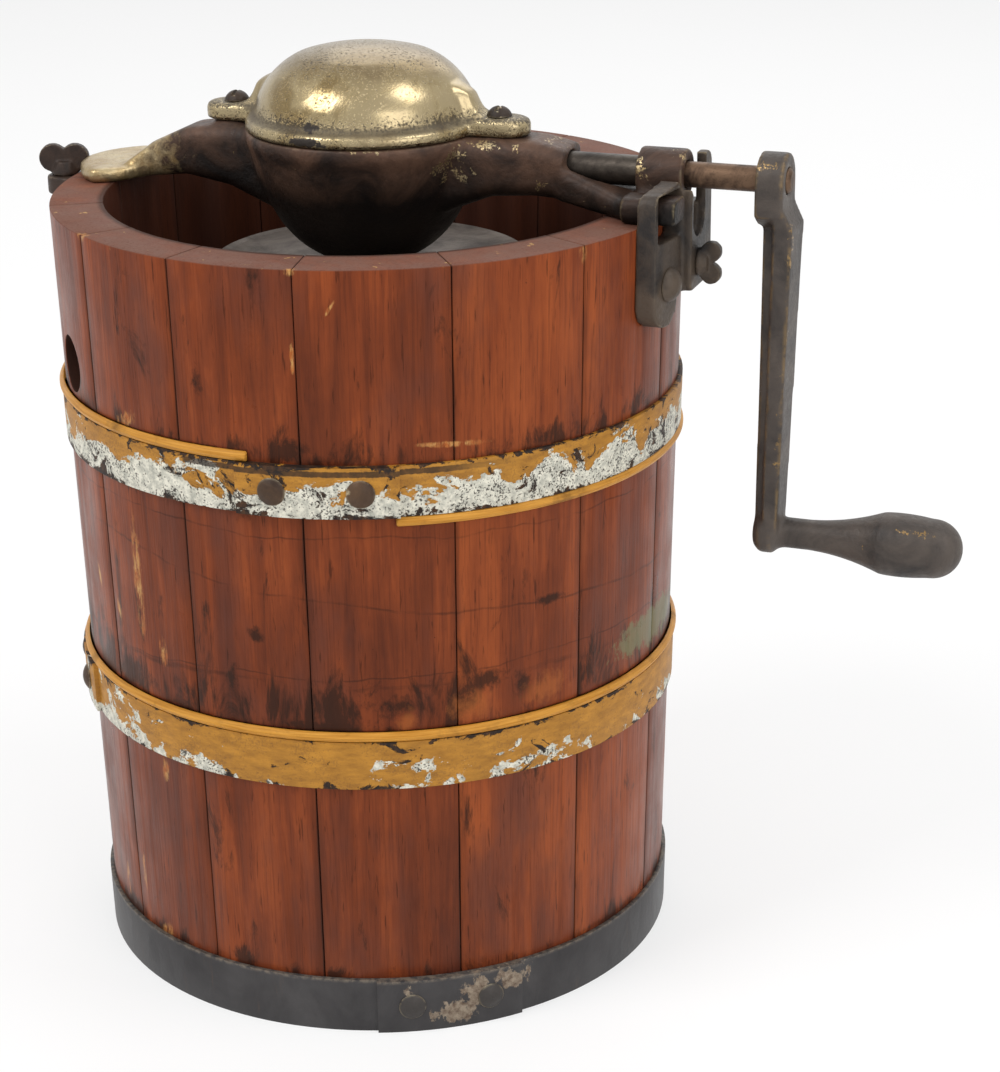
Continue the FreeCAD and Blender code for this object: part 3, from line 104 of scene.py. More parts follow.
class Wiring:
    """One material and the nodes wired up for it."""

    def __init__(self, name: str) -> None:
        """Starts a material with a plain shader.

        Args:
            name: The material's name.
        """
        self.material = bpy.data.materials.new(name)
        self.material.use_nodes = True
        self.tree = self.material.node_tree
        self.shader = self.tree.nodes["Principled BSDF"]

    def node(self, kind: str, **settings: Any) -> Any:
        """Adds a node.

        Args:
            kind: The node's type, without its common prefix.
            settings: Properties of the node to set.

        Returns:
            The new node.
        """
        made = self.tree.nodes.new("ShaderNode" + kind)
        for name, value in settings.items():
            setattr(made, name, value)
        return made

    def feed(self, target: Socket, source: Any) -> None:
        """Gives an input a wire from an output, or else a value or a colour's code."""
        if isinstance(source, bpy.types.NodeSocket):
            self.tree.links.new(source, target)
        else:
            target.default_value = tint(source) if isinstance(source, str) else source

    def place(self, up: float, seed: str | None) -> Socket:
        """The point on the piece, in metres, with its height stretched.

        Args:
            up: How many times finer a pattern gets along the height.
            seed: The attribute that shifts the pattern from one board to the next.

        Returns:
            A vector output.
        """
        vector = self.node("TexCoord").outputs["Object"]
        if seed:
            shift = self.node("Attribute", attribute_name=seed).outputs["Fac"]
            combined = self.node("CombineXYZ")
            for name in ("X", "Y", "Z"):
                self.feed(combined.inputs[name], shift)
            added = self.node("VectorMath", operation="ADD")
            self.feed(added.inputs[0], vector)
            self.feed(added.inputs[1], combined.outputs[0])
            vector = added.outputs[0]
        scaled = self.node("Mapping")
        self.feed(scaled.inputs["Vector"], vector)
        self.feed(scaled.inputs["Scale"], (1.0, 1.0, up))
        return scaled.outputs[0]

    def along(self, axis: str) -> Socket:
        """The height, reach or side of the point on the piece, in metres."""
        split = self.node("SeparateXYZ")
        self.feed(split.inputs[0], self.node("TexCoord").outputs["Object"])
        return split.outputs[axis]

    def noise(self, scale: float, detail: float, rough: float, warp: float = 0.0,
              up: float = 1.0, seed: str | None = None) -> Socket:
        """Cloudy noise from 0 to 1.

        Args:
            scale: Clouds to the metre.
            detail: How many finer layers are added.
            rough: How strong the finer layers are.
            warp: How much the clouds are pulled about.
            up: How many times finer the clouds are along the height.
            seed: The attribute that shifts the clouds from one board to the next.

        Returns:
            The noise's value.
        """
        made = self.node("TexNoise")
        self.feed(made.inputs["Vector"], self.place(up, seed))
        self.feed(made.inputs["Scale"], scale)
        self.feed(made.inputs["Detail"], detail)
        self.feed(made.inputs["Roughness"], rough)
        self.feed(made.inputs["Distortion"], warp)
        return made.outputs["Fac"]

    def reach(self, mark: Mark) -> Socket:
        """How far the point lies from a mark's middle, which is 1 at the mark's edge."""
        moved = self.node("VectorMath", operation="SUBTRACT")
        self.feed(moved.inputs[0], self.node("TexCoord").outputs["Object"])
        self.feed(moved.inputs[1], mark.place)
        turned = self.node("Mapping")
        self.feed(turned.inputs["Vector"], moved.outputs[0])
        self.feed(turned.inputs["Rotation"], (0.0, mark.lean, 0.0))
        scaled = self.node("VectorMath", operation="MULTIPLY")
        self.feed(scaled.inputs[0], turned.outputs[0])
        self.feed(scaled.inputs[1], (1 / mark.wide, 1 / mark.wide, 1 / mark.high))
        length = self.node("VectorMath", operation="LENGTH")
        self.feed(length.inputs[0], scaled.outputs[0])
        return length.outputs["Value"]

    def marks(self, places: tuple[Mark, ...], ragged: Socket, soft: float = 0.2) -> Socket:
        """Where any of some marks lies.

        Args:
            places: The marks.
            ragged: Noise that pulls their edges about.
            soft: How softly they end.

        Returns:
            One on a mark and nought off it.
        """
        nearest = self.reach(places[0])
        for mark in places[1:]:
            nearest = self.sum("MINIMUM", nearest, self.reach(mark))
        edge = self.wavered(nearest, ragged, 0.55)
        return self.span(edge, 1.0, 1.0 - soft)

    def from_axis(self) -> Socket:
        """How far the point lies from the tub's upright axis, in metres."""
        flat = self.node("VectorMath", operation="MULTIPLY")
        self.feed(flat.inputs[0], self.node("TexCoord").outputs["Object"])
        self.feed(flat.inputs[1], (1.0, 1.0, 0.0))
        length = self.node("VectorMath", operation="LENGTH")
        self.feed(length.inputs[0], flat.outputs[0])
        return length.outputs["Value"]

    def span(self, value: Socket, low: float, high: float, start: float = 0.0,
             end: float = 1.0) -> Socket:
        """Turns low to high into start to end, held at both."""
        made = self.node("MapRange")
        for name, number in (("Value", value), ("From Min", low), ("From Max", high),
                             ("To Min", start), ("To Max", end)):
            self.feed(made.inputs[name], number)
        return made.outputs[0]

    def sum(self, kind: str, first: Any, second: Any) -> Socket:
        """Arithmetic of one kind on two values."""
        made = self.node("Math", operation=kind)
        self.feed(made.inputs[0], first)
        self.feed(made.inputs[1], second)
        return made.outputs[0]

    def times(self, first: Any, second: Any) -> Socket:
        """One value times another."""
        return self.sum("MULTIPLY", first, second)

    def plus(self, first: Any, second: Any) -> Socket:
        """One value added to another."""
        return self.sum("ADD", first, second)

    def most(self, first: Any, second: Any) -> Socket:
        """The larger of two values."""
        return self.sum("MAXIMUM", first, second)

    def apart(self, first: Any, second: Any) -> Socket:
        """How far two values lie from each other."""
        return self.sum("ABSOLUTE", self.sum("SUBTRACT", first, second), 0.0)

    def wavered(self, value: Any, ragged: Socket, by: float) -> Socket:
        """A value that noise pulls up and down by so much."""
        return self.plus(value, self.span(ragged, 0.3, 0.7, -by, by))

    def blend(self, share: Socket, under: Any, over: Any) -> Socket:
        """Lays one colour over another by a share."""
        made = self.node("Mix", data_type="RGBA")
        self.feed(made.inputs[0], share)
        self.feed(made.inputs[6], under)
        self.feed(made.inputs[7], over)
        return made.outputs[2]

    def edges(self, low: float, high: float) -> Socket:
        """How far the surface stands out from what is round it, for rubbed corners."""
        return self.span(self.node("NewGeometry").outputs["Pointiness"], low, high)

    def relief(self, height: Socket, depth: float, strength: float = 1.0,
               under: Socket | None = None) -> Socket:
        """Raises and sinks the surface.

        Args:
            height: The height, from 0 to 1.
            depth: How much that is, in metres.
            strength: How much of it shows.
            under: A coarser relief that this one lies on.

        Returns:
            The changed normal.
        """
        made = self.node("Bump")
        self.feed(made.inputs["Height"], height)
        self.feed(made.inputs["Distance"], depth)
        self.feed(made.inputs["Strength"], strength)
        if under is not None:
            self.feed(made.inputs["Normal"], under)
        return made.outputs[0]

    def finish(self, colour: Any, rough: Any, metal: Any = 0.0, normal: Socket | None = None,
               coat: float = 0.0, gloss: float = 0.5, cast: str = "FFFFFF") -> bpy.types.Material:
        """Wires the shader and gives back the material.

        Args:
            colour: The base colour.
            rough: The roughness.
            metal: The share that is bare metal.
            normal: The relief, if there is one.
            coat: The weight of a clear varnish.
            gloss: The specular level.
            cast: The colour of the reflection.

        Returns:
            The finished material.
        """
        inputs = self.shader.inputs
        self.feed(inputs["Specular Tint"], cast)
        self.feed(inputs["Base Color"], colour)
        self.feed(inputs["Roughness"], rough)
        self.feed(inputs["Metallic"], metal)
        inputs["Specular IOR Level"].default_value = gloss
        inputs["Coat Weight"].default_value = coat
        inputs["Coat Roughness"].default_value = 0.22
        if normal is not None:
            self.feed(inputs["Normal"], normal)
        return self.material


@dataclass(frozen=True)
class VarnishedWood:
    """Old red-brown varnish over upright grain, darkened beside the hoops."""

    light: str = "9C4F29"
    middle: str = "7A3A20"
    dark: str = "4F2519"
    dusk: str = "58332B"
    grain: str = "30140C"
    stain: str = "1B1412"
    bare: str = "6D4E43"
    inner: str = "2C1813"
    # Colour of the darker inner face, and of the painted shade in the drain hole
    pale: str = "C9A265"
    worn: str = "A9602F"
    moss: str = "6B6848"
    seed: str = "board_seed"
    pale_marks: tuple[Mark, ...] = marks_at(
        (-43.9, -87.2, 143, 2.4, 21), (-34.9, -90.6, 122, 1.8, 4.5),
        (-65.6, -72, 136.5, 1.3, 6, 0.3), (-54.6, -80.5, 129, 1.3, 6, 0.3),
        (-43.9, -88.5, 195.2, 6, 2.6, 0.5), (27.6, -95.9, 237.7, 0.6, 6.5, -0.6),
        (16.4, -98, 222.9, 0.7, 6), (-64, -70.1, 28.4, 1.8, 7), (-52.9, -79.1, 37.1, 1.4, 7.5),
        (-43, -84.4, 19.5, 4.2, 3, 0.6), (-37.8, -88.4, 79.4, 1.6, 5),
        (57.4, -80.4, 195.5, 13, 1, -0.06), (-58.8, -80.9, 249.5, 3.4, 2.6),
        (17.2, -98.5, 248.5, 2.3, 2.2), (87.5, -48.4, 246.7, 1.8, 3.4),
        (33, -93, 244, 0.7, 5, 0.5),
    )
    dark_marks: tuple[Mark, ...] = marks_at(
        (79.7, -56.2, 140.8, 6, 1.8, -0.1), (64.4, -72.6, 118.5, 7, 4), (74, -64, 115, 4, 6),
        (0, -97.4, 134.6, 3, 2.8), (-8.9, -96.6, 118.3, 2.6, 6), (12.9, -97.9, 194.8, 8.5, 3.8),
        (-13.1, -97.8, 191.5, 6, 3), (-14, -97, 214, 2.2, 5), (41, -87, 112, 6, 4),
        (20, -94, 106, 16, 3.4), (-70, -69, 201, 6, 7), (-50, -82, 109, 15, 4.6),
    )
    worn_marks: tuple[Mark, ...] = marks_at(
        (60.3, -75.8, 110.9, 8, 5), (78, -57.4, 111.5, 9, 6), (44, -86, 107.5, 4, 4),
    )
    drain: Mark = Mark((-0.0704, -0.0634, 0.2036), 0.0128, 0.0128)
    drain_axis: tuple[float, float, float] = (-0.7431, -0.6691, 0.0)
    taper: float = 0.0229
    inner_from: float = 0.0800
    inner_to: float = 0.0785
    rim_from: float = 0.246
    rim_to: float = 0.2485
    chips_from: float = 0.2474
    chips_to: float = 0.2488
    hoop_bands: tuple[tuple[float, float, float], ...] = (
        (0.187, 0.006, 0.012), (0.107, 0.006, 0.015), (0.015, 0.005, 0.006),
    )
    scratches: tuple[tuple[float, float, float], ...] = (
        (0.149, 0.117, 0.0006), (0.1182, 0.0, 0.0011), (0.1675, 0.02, 0.0004),
        (0.1205, -0.03, 0.0004),
    )
    moss_marks: tuple[Mark, ...] = marks_at((96.5, -6, 115, 27, 7))

    def build(self) -> bpy.types.Material:
        """The material for the staves and the bottom board."""
        w = Wiring("Varnished wood")
        height = w.along("Z")
        ragged = w.noise(260, 6, 0.72, up=0.7)
        colour = self.boards(w)
        colour = self.stains(w, colour, height, ragged)
        colour = w.blend(w.times(w.marks(self.worn_marks, ragged, 0.8), 0.45), colour, self.worn)
        colour = w.blend(w.times(w.marks(self.moss_marks, ragged, 0.3), 0.8), colour, self.moss)
        colour, top = self.rim(w, colour, height)
        streaks = w.noise(800, 5, 0.7, up=0.15)
        pale = w.times(w.marks(self.pale_marks, ragged, 0.5), w.span(streaks, 0.42, 0.56))
        paint = w.blend(w.span(ragged, 0.4, 0.6), self.worn, self.pale)
        colour = w.blend(w.times(pale, 0.85), colour, paint)

        # The wall's inner face is painted darker, and the drain hole's wall is painted dark as the
        # shade in the hole
        depth = w.sum("SUBTRACT", w.from_axis(), w.times(height, self.taper))
        inside = w.span(depth, self.inner_from, self.inner_to, 0.0, 0.85)
        inside = w.most(inside, self.drain_hole_shade(w))
        colour = w.blend(inside, colour, self.inner)

        rough = w.span(w.noise(55, 5, 0.6), 0.3, 0.7, 0.27, 0.45)
        rough = w.plus(rough, w.times(w.most(top, inside), 0.35))
        fine = w.noise(900, 4, 0.6, up=0.03, seed=self.seed)
        normal = w.relief(fine, 0.00025, 0.5)
        normal = w.relief(w.noise(30, 3, 0.5, up=0.4), 0.0022, 0.35, normal)
        return w.finish(colour, rough, 0.0, normal, coat=0.04, gloss=0.16, cast="FFD2AE")

    def drain_hole_shade(self, w: Wiring) -> Socket:
        """Painted shade: where the wall of the drain hole is, darkened as the shade in the hole.
        """
        facing = w.node("VectorMath", operation="DOT_PRODUCT")
        w.feed(facing.inputs[0], w.node("NewGeometry").outputs["Normal"])
        w.feed(facing.inputs[1], self.drain_axis)
        aside = w.span(w.sum("ABSOLUTE", facing.outputs["Value"], 0.0), 0.7, 0.4)
        return w.times(w.span(w.reach(self.drain), 1.05, 0.95), aside)

    def boards(self, w: Wiring) -> Socket:
        """The varnished grain, with each board's own tone and dark seams."""
        broad = w.noise(170, 4, 0.6, 0.5, up=0.07, seed=self.seed)
        cloud = w.noise(27, 5, 0.64, up=0.55, seed=self.seed)
        dash = w.noise(950, 3, 0.55, up=0.09, seed=self.seed)
        thread = w.noise(1500, 3, 0.6, up=0.02, seed=self.seed)
        board = w.node("Attribute", attribute_name="board_tint").outputs["Fac"]
        tone = w.plus(w.span(broad, 0.34, 0.68, 0.0, 0.42), w.span(cloud, 0.3, 0.7, 0.0, 0.5))
        tone = w.plus(tone, board)
        colour = w.blend(w.span(tone, 0.08, 0.6), self.dark, self.middle)
        colour = w.blend(w.span(tone, 0.55, 1.1), colour, self.light)
        dusky = w.noise(38, 4, 0.6, up=0.4, seed=self.seed)
        colour = w.blend(w.span(dusky, 0.5, 0.68, 0.0, 0.65), colour, self.dusk)
        colour = w.blend(w.span(thread, 0.5, 0.7, 0.0, 0.5), colour, self.dark)
        colour = w.blend(w.span(dash, 0.63, 0.71, 0.0, 0.6), colour, self.grain)
        seam = w.node("Attribute", attribute_name="seam").outputs["Fac"]
        gap = w.wavered(seam, broad, 0.0003)
        colour = w.blend(w.span(gap, 0.0022, 0.0002, 0.0, 0.3), colour, self.grain)
        return w.blend(w.span(gap, 0.0003, 0.0000, 0.0, 0.7), colour, self.stain)

    def stains(self, w: Wiring, colour: Socket, height: Socket, ragged: Socket) -> Socket:
        """Dirt beside the hoops, old scratches round the tub, and dark spots."""
        dirt = None
        for middle, half, fade in self.hoop_bands:
            away = w.apart(height, middle)
            band = w.span(away, half + fade, half)
            dirt = band if dirt is None else w.most(dirt, band)
        streak = w.noise(85, 7, 0.7, 0.6, up=0.3, seed=self.seed)
        lifted = w.plus(streak, w.span(dirt, 0.0, 1.0, 0.0, 0.14))
        stain = w.times(w.span(lifted, 0.60, 0.70), 0.8)
        specks = w.span(w.noise(300, 4, 0.7, up=0.8), 0.72, 0.76)
        stain = w.most(stain, w.times(specks, 0.7))
        wobble = w.span(w.noise(20, 4, 0.6), 0.3, 0.7, -0.0022, 0.0022)
        broken = w.span(w.noise(60, 5, 0.65, up=4), 0.40, 0.58)
        for level, tilt, thick in self.scratches:
            slope = w.plus(height, w.times(w.along("X"), tilt))
            away = w.apart(w.plus(slope, wobble), level)
            line = w.times(w.span(away, thick, thick * 0.3), broken)
            stain = w.most(stain, w.times(line, 0.45))
        spots = w.times(w.marks(self.dark_marks, ragged, 0.6), 0.8)
        return w.blend(w.most(stain, spots), colour, self.stain)

    def rim(self, w: Wiring, colour: Socket, height: Socket) -> tuple[Socket, Socket]:
        """The rim's end grain, which has lost its varnish, and its chipped outer edge."""
        facing = w.node("SeparateXYZ")
        w.feed(facing.inputs[0], w.node("NewGeometry").outputs["Normal"])
        top = w.times(w.span(height, self.rim_from, self.rim_to),
                      w.span(facing.outputs["Z"], 0.3, 0.8))
        worn = w.span(w.noise(70, 6, 0.7), 0.35, 0.6, 0.6, 1.0)
        colour = w.blend(w.times(top, worn), colour, self.bare)
        end_grain = w.noise(1300, 3, 0.6)
        colour = w.blend(w.times(top, w.span(end_grain, 0.5, 0.72, 0.0, 0.5)), colour, self.dark)
        edge = w.span(height, self.chips_from, self.chips_to)
        chips = w.span(w.noise(170, 6, 0.72, up=0.5), 0.64, 0.67, 0.0, 0.6)
        return w.blend(w.times(edge, chips), colour, self.pale), top


@dataclass(frozen=True)
class FlakingPaint:
    """Ochre over pale primer on iron, flaked off in patches."""

    name: str
    ochre: str = "B67F2A"
    deep: str = "94641E"
    primer: str = "DEDACA"
    silver: str = "A5A498"
    iron: str = "29211D"
    rust: str = "5A3D26"
    low: float = 0.1746
    high: float = 0.1904
    ochre_share: float = 0.5
    iron_share: float = 0.5
    rise: float = 0.42
    # Where a line of painted shade runs along the hoop's upper edge: its start and end across the
    # hoop, how long it fades, and its height on the hoop
    shade_line_from: float | None = None
    shade_line_to: float = 0.075
    shade_line_fade: float = 0.02
    shade_line_level: float = 0.88
    lean: float = 0.0

    def build(self) -> bpy.types.Material:
        """The material for one painted hoop."""
        w = Wiring(self.name)
        broad = w.span(w.noise(16, 2, 0.5), 0.35, 0.65, -0.07, 0.07)
        flake = w.plus(w.noise(75, 7, 0.62, 0.3, up=1.4), broad)
        fine = w.noise(420, 5, 0.7)
        up = w.span(w.along("Z"), self.low, self.high)
        streak = w.noise(130, 6, 0.66, up=3)
        ochre = w.blend(w.span(streak, 0.35, 0.65), self.deep, self.ochre)
        primer = w.blend(w.span(fine, 0.36, 0.6), self.silver, self.primer)

        # Ochre holds best along the top edge, and primer shows under it lower down
        hold = w.plus(w.times(up, self.rise), flake)
        hold = w.plus(hold, w.times(w.along("X"), self.lean))
        limit = 0.5 + self.rise / 2 - self.ochre_share * 0.1
        covered = w.span(hold, limit, limit + 0.012)
        pinholes = w.noise(1500, 2, 0.6)
        crowd = w.noise(90, 4, 0.6, up=1.5)
        dots = w.span(w.plus(pinholes, w.span(crowd, 0.35, 0.7, -0.07, 0.16)), 0.61, 0.66)
        primer = w.blend(w.times(dots, 0.9), primer, self.iron)
        ochre = w.blend(w.span(dots, 0.0, 1.0, 0.0, 0.3), ochre, self.rust)
        colour = w.blend(covered, primer, ochre)
        bare_noise = w.noise(95, 9, 0.72, 0.8, up=1.3)
        rim = w.span(w.apart(up, 0.5), 0.38, 0.5, 0.0, 0.10)
        least = 0.66 - self.iron_share * 0.1
        bare = w.span(w.plus(bare_noise, rim), least, least + 0.015)
        iron = w.blend(w.span(fine, 0.45, 0.7), self.iron, self.rust)
        # Painted shade: a dark line along the hoop's upper edge, from where the reed stops; it
        # goes into the bare share, which so holds painted shade as well as bare iron
        if self.shade_line_from is not None:
            away = w.apart(up, self.shade_line_level)
            shade_line = w.span(w.wavered(away, fine, 0.014), 0.062, 0.048)
            start = w.span(w.along("X"), self.shade_line_from, self.shade_line_from + 0.001)
            end = w.span(w.along("X"), self.shade_line_to, self.shade_line_to - self.shade_line_fade)
            shade_line = w.times(shade_line, w.times(start, end))
            bare = w.most(bare, w.times(shade_line, 0.85))
        colour = w.blend(bare, colour, iron)
        rough = w.span(bare, 0.0, 1.0, 0.5, 0.6)
        height = w.plus(w.span(bare, 0.0, 1.0, 0.6, 0.0), w.times(covered, 0.4))
        normal = w.relief(height, 0.00022, 0.9)
        normal = w.relief(fine, 0.0002, 0.35, normal)
        return w.finish(colour, rough, w.times(bare, 0.4), normal, gloss=0.3)


@dataclass(frozen=True)
class WornDarkPaint:
    """Dark paint on iron, with a few worn pale patches."""

    dark: str = "302E2F"
    grey: str = "4A4848"
    pale: str = "9A8B78"
    brown: str = "5E4A3B"
    rim_from: float = 0.0172
    rim_to: float = 0.0182
    patches: tuple[Mark, ...] = marks_at(
        (40.9, -85.3, 14.4, 3.2, 2.6), (54.5, -77.5, 6, 6, 4.6), (59, -74, 12, 4.8, 6),
        (68.8, -65, 14, 6, 4.4), (48, -81.5, 4, 2.8, 4.8),
    )

    def build(self) -> bpy.types.Material:
        """The material for the bottom hoop."""
        w = Wiring("Worn dark paint")
        cloud = w.noise(42, 6, 0.6, 0.4, up=0.6)
        fine = w.noise(480, 5, 0.7)
        colour = w.blend(w.span(cloud, 0.35, 0.7), self.dark, self.grey)
        flaked = w.noise(200, 6, 0.7, up=0.7)
        patch = w.marks(self.patches, flaked, 0.12)
        worn = w.blend(w.span(fine, 0.4, 0.66), self.pale, self.brown)
        colour = w.blend(w.times(patch, 0.85), colour, worn)
        streak = w.span(w.noise(210, 5, 0.7, up=0.12), 0.6, 0.75, 0.0, 0.35)
        colour = w.blend(streak, colour, self.brown)
        rim = w.span(w.along("Z"), self.rim_from, self.rim_to, 0.0, 0.4)
        colour = w.blend(w.times(rim, w.span(fine, 0.4, 0.6)), colour, self.pale)
        rough = w.span(cloud, 0.3, 0.7, 0.34, 0.5)
        normal = w.relief(fine, 0.0002, 0.4)
        normal = w.relief(cloud, 0.0008, 0.4, normal)
        return w.finish(colour, rough, 0.1, normal, gloss=0.25)


@dataclass(frozen=True)
class SplitReed:
    """Yellow-brown reed with fibres along it."""

    light: str = "CE9440"
    middle: str = "AE7528"
    dark: str = "5A3A1A"

    def build(self) -> bpy.types.Material:
        """The material for the reeds."""
        w = Wiring("Split reed")
        fibre = w.noise(60, 5, 0.6, up=34)
        cloud = w.noise(60, 6, 0.65, 0.3)
        colour = w.blend(w.span(fibre, 0.35, 0.65), self.middle, self.light)
        colour = w.blend(w.span(cloud, 0.55, 0.75, 0.0, 0.8), colour, self.dark)
        normal = w.relief(fibre, 0.0004, 0.6)
        return w.finish(colour, w.span(cloud, 0.3, 0.7, 0.34, 0.5), 0.0, normal, gloss=0.3,
                        cast="FFE0B0")


@dataclass(frozen=True)
class CastIron:
    """Dark cast iron whose tinning is left on edges, in patches and in flecks, and which can
    darken lower down: painted shade on the gear frame, dark paint on the rivets.
    """

    name: str
    dark: str = "241D1A"
    brown: str = "46362D"
    bright: str = "DCCFB0"
    gold: str = "9C7B48"
    bright_share: float = 0.2
    bright_from: float | None = None
    bright_to: float | None = None
    edge_low: float = 0.53
    edge_high: float = 0.6
    grain: float = 0.0003
    flecks: tuple[Mark, ...] = ()
    # The lower colour and the heights where it takes over: painted shade on the gear frame, the
    # bottom hoop's dark paint on the rivets
    shade: str = "0D0A09"
    shade_low: float | None = None
    shade_high: float = 0.0
    gloss: float = 0.25

    def build(self) -> bpy.types.Material:
        """The material for one kind of casting."""
        w = Wiring(self.name)
        cloud = w.noise(62, 7, 0.62, 0.5)
        fine = w.noise(700, 5, 0.65)
        colour = w.blend(w.span(cloud, 0.36, 0.62), self.dark, self.brown)
        # Painted shade on the gear frame: darker lower down, towards the undersides and the bowl
        # under the dome; on the rivets the same blend gives the bottom hoop's dark paint
        if self.shade_low is not None:
            deep = w.span(w.wavered(w.along("Z"), cloud, 0.002),
                          self.shade_low, self.shade_high, 0.95, 0.0)
            colour = w.blend(deep, colour, self.shade)
        metal = w.blend(w.span(w.noise(120, 6, 0.65), 0.3, 0.66), self.gold, self.bright)
        bright = self.tinning(w)
        colour = w.blend(bright, colour, metal)
        rough = w.span(w.plus(fine, w.times(bright, -0.35)), 0.1, 0.8, 0.30, 0.6)
        normal = w.relief(fine, self.grain, 0.5)
        normal = w.relief(w.noise(210, 4, 0.6), 0.0007, 0.4, normal)
        normal = w.relief(cloud, 0.0015, 0.35, normal)
        return w.finish(colour, rough, w.span(bright, 0.0, 1.0, 0.1, 0.85), normal,
                        gloss=self.gloss)

    def tinning(self, w: Wiring) -> Socket:
        """How much bright metal is left at each point.

        Args:
            w: The material's wiring.

        Returns:
            Its share, from 0 to 1.
        """
        flake = w.noise(230, 8, 0.72, 0.4)
        speckle = w.noise(1300, 3, 0.6)
        lifted = flake
        # Flecks crowd near the given marks; on the crank these marks sit where highlights fall, so
        # there the flecks are partly painted highlight
        if self.flecks:
            near = w.marks(self.flecks, w.span(flake, 0.0, 1.0, 1.0, 0.0), 0.9)
            lifted = w.plus(flake, w.times(near, 0.22))
        limit = 0.72 - self.bright_share * 0.2
        fleck = w.times(w.span(lifted, limit, limit + 0.03), w.span(speckle, 0.44, 0.53))
        rubbed = w.times(w.edges(self.edge_low, self.edge_high),
                         w.span(w.noise(240, 7, 0.7), 0.42, 0.56))
        bright = w.most(w.times(fleck, 0.95), w.times(rubbed, 0.7))
        if self.bright_from is not None and self.bright_to is not None:
            kept = w.span(w.wavered(w.along("X"), flake, 0.010), self.bright_from, self.bright_to)
            worn = w.span(speckle, 0.60, 0.68, 1.0, 0.6)
            bright = w.most(bright, w.times(kept, worn))
        return bright


@dataclass(frozen=True)
class WornNickel:
    """Nickel gone warm and pitted, with a dark line of dirt above its rolled foot, painted shade
    towards its top and a painted shadow below its foot.
    """

    bright: str = "BFB08D"
    warm: str = "83714F"
    # Colour of tarnish, and of the painted shade towards the top
    tarnish_and_shade: str = "655238"
    dirt: str = "241B13"
    roll_top: float = 0.2735
    pit_reach: float = 0.0055
    shoulder_from: float = 0.2855
    shoulder_to: float = 0.2905
    ears_from: float = 0.0400
    blotches: tuple[Mark, ...] = marks_at(
        (-4.5, -37, 275, 4.2, 1.6), (-4, -40, 271, 7.5, 1.4),
    )

    def build(self) -> bpy.types.Material:
        """The material for the dome."""
        w = Wiring("Worn nickel")
        height = w.along("Z")
        cloud = w.noise(42, 7, 0.66, 0.7)
        fine = w.noise(1150, 5, 0.75)
        ragged = w.noise(260, 6, 0.74)
        colour = w.blend(w.span(cloud, 0.36, 0.62), self.warm, self.bright)

        # Pits crowd together just over the rolled foot and on the shoulder
        seam = self.roll_top + 0.0008
        low = w.span(height, self.roll_top + self.pit_reach, seam, 0.0, 0.21)
        low = w.times(low, w.span(height, self.roll_top - 0.0006, seam, 0.35, 1.0))
        top = w.span(height, self.shoulder_from, self.shoulder_to, 0.0, 0.06)
        crowd = w.plus(w.plus(fine, w.most(low, top)), w.span(cloud, 0.3, 0.7, 0.06, -0.08))
        pits = w.span(crowd, 0.62, 0.68)
        # Tarnish in clouds, darker towards the shoulder and top: partly tarnish and dirt, partly
        # painted shade standing in for the darker reflection there
        tarnish_and_shade_share = w.span(w.plus(cloud, w.times(top, 2.2)), 0.48, 0.68, 0.0, 0.7)
        colour = w.blend(tarnish_and_shade_share, colour, self.tarnish_and_shade)
        seat = w.apart(height, self.roll_top + 0.0004)
        line = w.span(w.wavered(seat, fine, 0.0006), 0.0012, 0.0005)
        line = w.times(line, w.span(w.from_axis(), self.ears_from, self.ears_from - 0.0015))
        # Painted shadow: a dark band below the rolled foot, in the gap under the dome
        foot = w.span(w.wavered(height, ragged, 0.0012),
                      self.roll_top - 0.0034, self.roll_top - 0.0044)
        spots = w.marks(self.blotches, ragged, 0.15)
        # The dirt share holds the pits, the dirt line, the blotches and the painted shadow below
        # the foot
        dirt = w.most(w.times(pits, 0.8), w.times(line, 0.6))
        dirt = w.most(dirt, w.times(foot, 0.7))
        dirt = w.most(dirt, spots)
        colour = w.blend(dirt, colour, self.dirt)
        rough = w.plus(w.span(cloud, 0.3, 0.7, 0.15, 0.30), w.times(dirt, 0.35))
        normal = w.relief(w.span(crowd, 0.58, 0.68, 1.0, 0.0), 0.00012, 0.5)
        normal = w.relief(cloud, 0.0015, 0.25, normal)
        return w.finish(colour, rough, w.span(dirt, 0.0, 1.0, 1.0, 0.2), normal)


@dataclass(frozen=True)
class PlainMetal:
    """A plain working metal with dirt and fine pits."""

    name: str
    base: str
    dirt: str
    rough: float = 0.4
    metal: float = 0.9
    scale: float = 90.0

    def build(self) -> bpy.types.Material:
        """The material for shafts, gears and tinware."""
        w = Wiring(self.name)
        cloud = w.noise(self.scale, 7, 0.66, 0.4)
        fine = w.noise(self.scale * 8, 5, 0.7)
        colour = w.blend(w.span(cloud, 0.40, 0.66), self.base, self.dirt)
        colour = w.blend(w.span(fine, 0.58, 0.7, 0.0, 0.6), colour, self.dirt)
        rough = w.span(cloud, 0.3, 0.7, self.rough - 0.08, self.rough + 0.14)
        normal = w.relief(fine, 0.00018, 0.5)
        return w.finish(colour, rough, self.metal, normal, gloss=0.35)


@dataclass(frozen=True)
class PlainWood:
    """Pale scrubbed wood with upright grain."""

    light: str = "A88A63"
    dark: str = "6F5437"

    def build(self) -> bpy.types.Material:
        """The material for the scrapers."""
        w = Wiring("Plain wood")
        grain = w.noise(600, 5, 0.6, up=0.05)
        colour = w.blend(w.span(grain, 0.35, 0.65), self.light, self.dark)
        return w.finish(colour, 0.62, 0.0, w.relief(grain, 0.0002, 0.5), gloss=0.3)


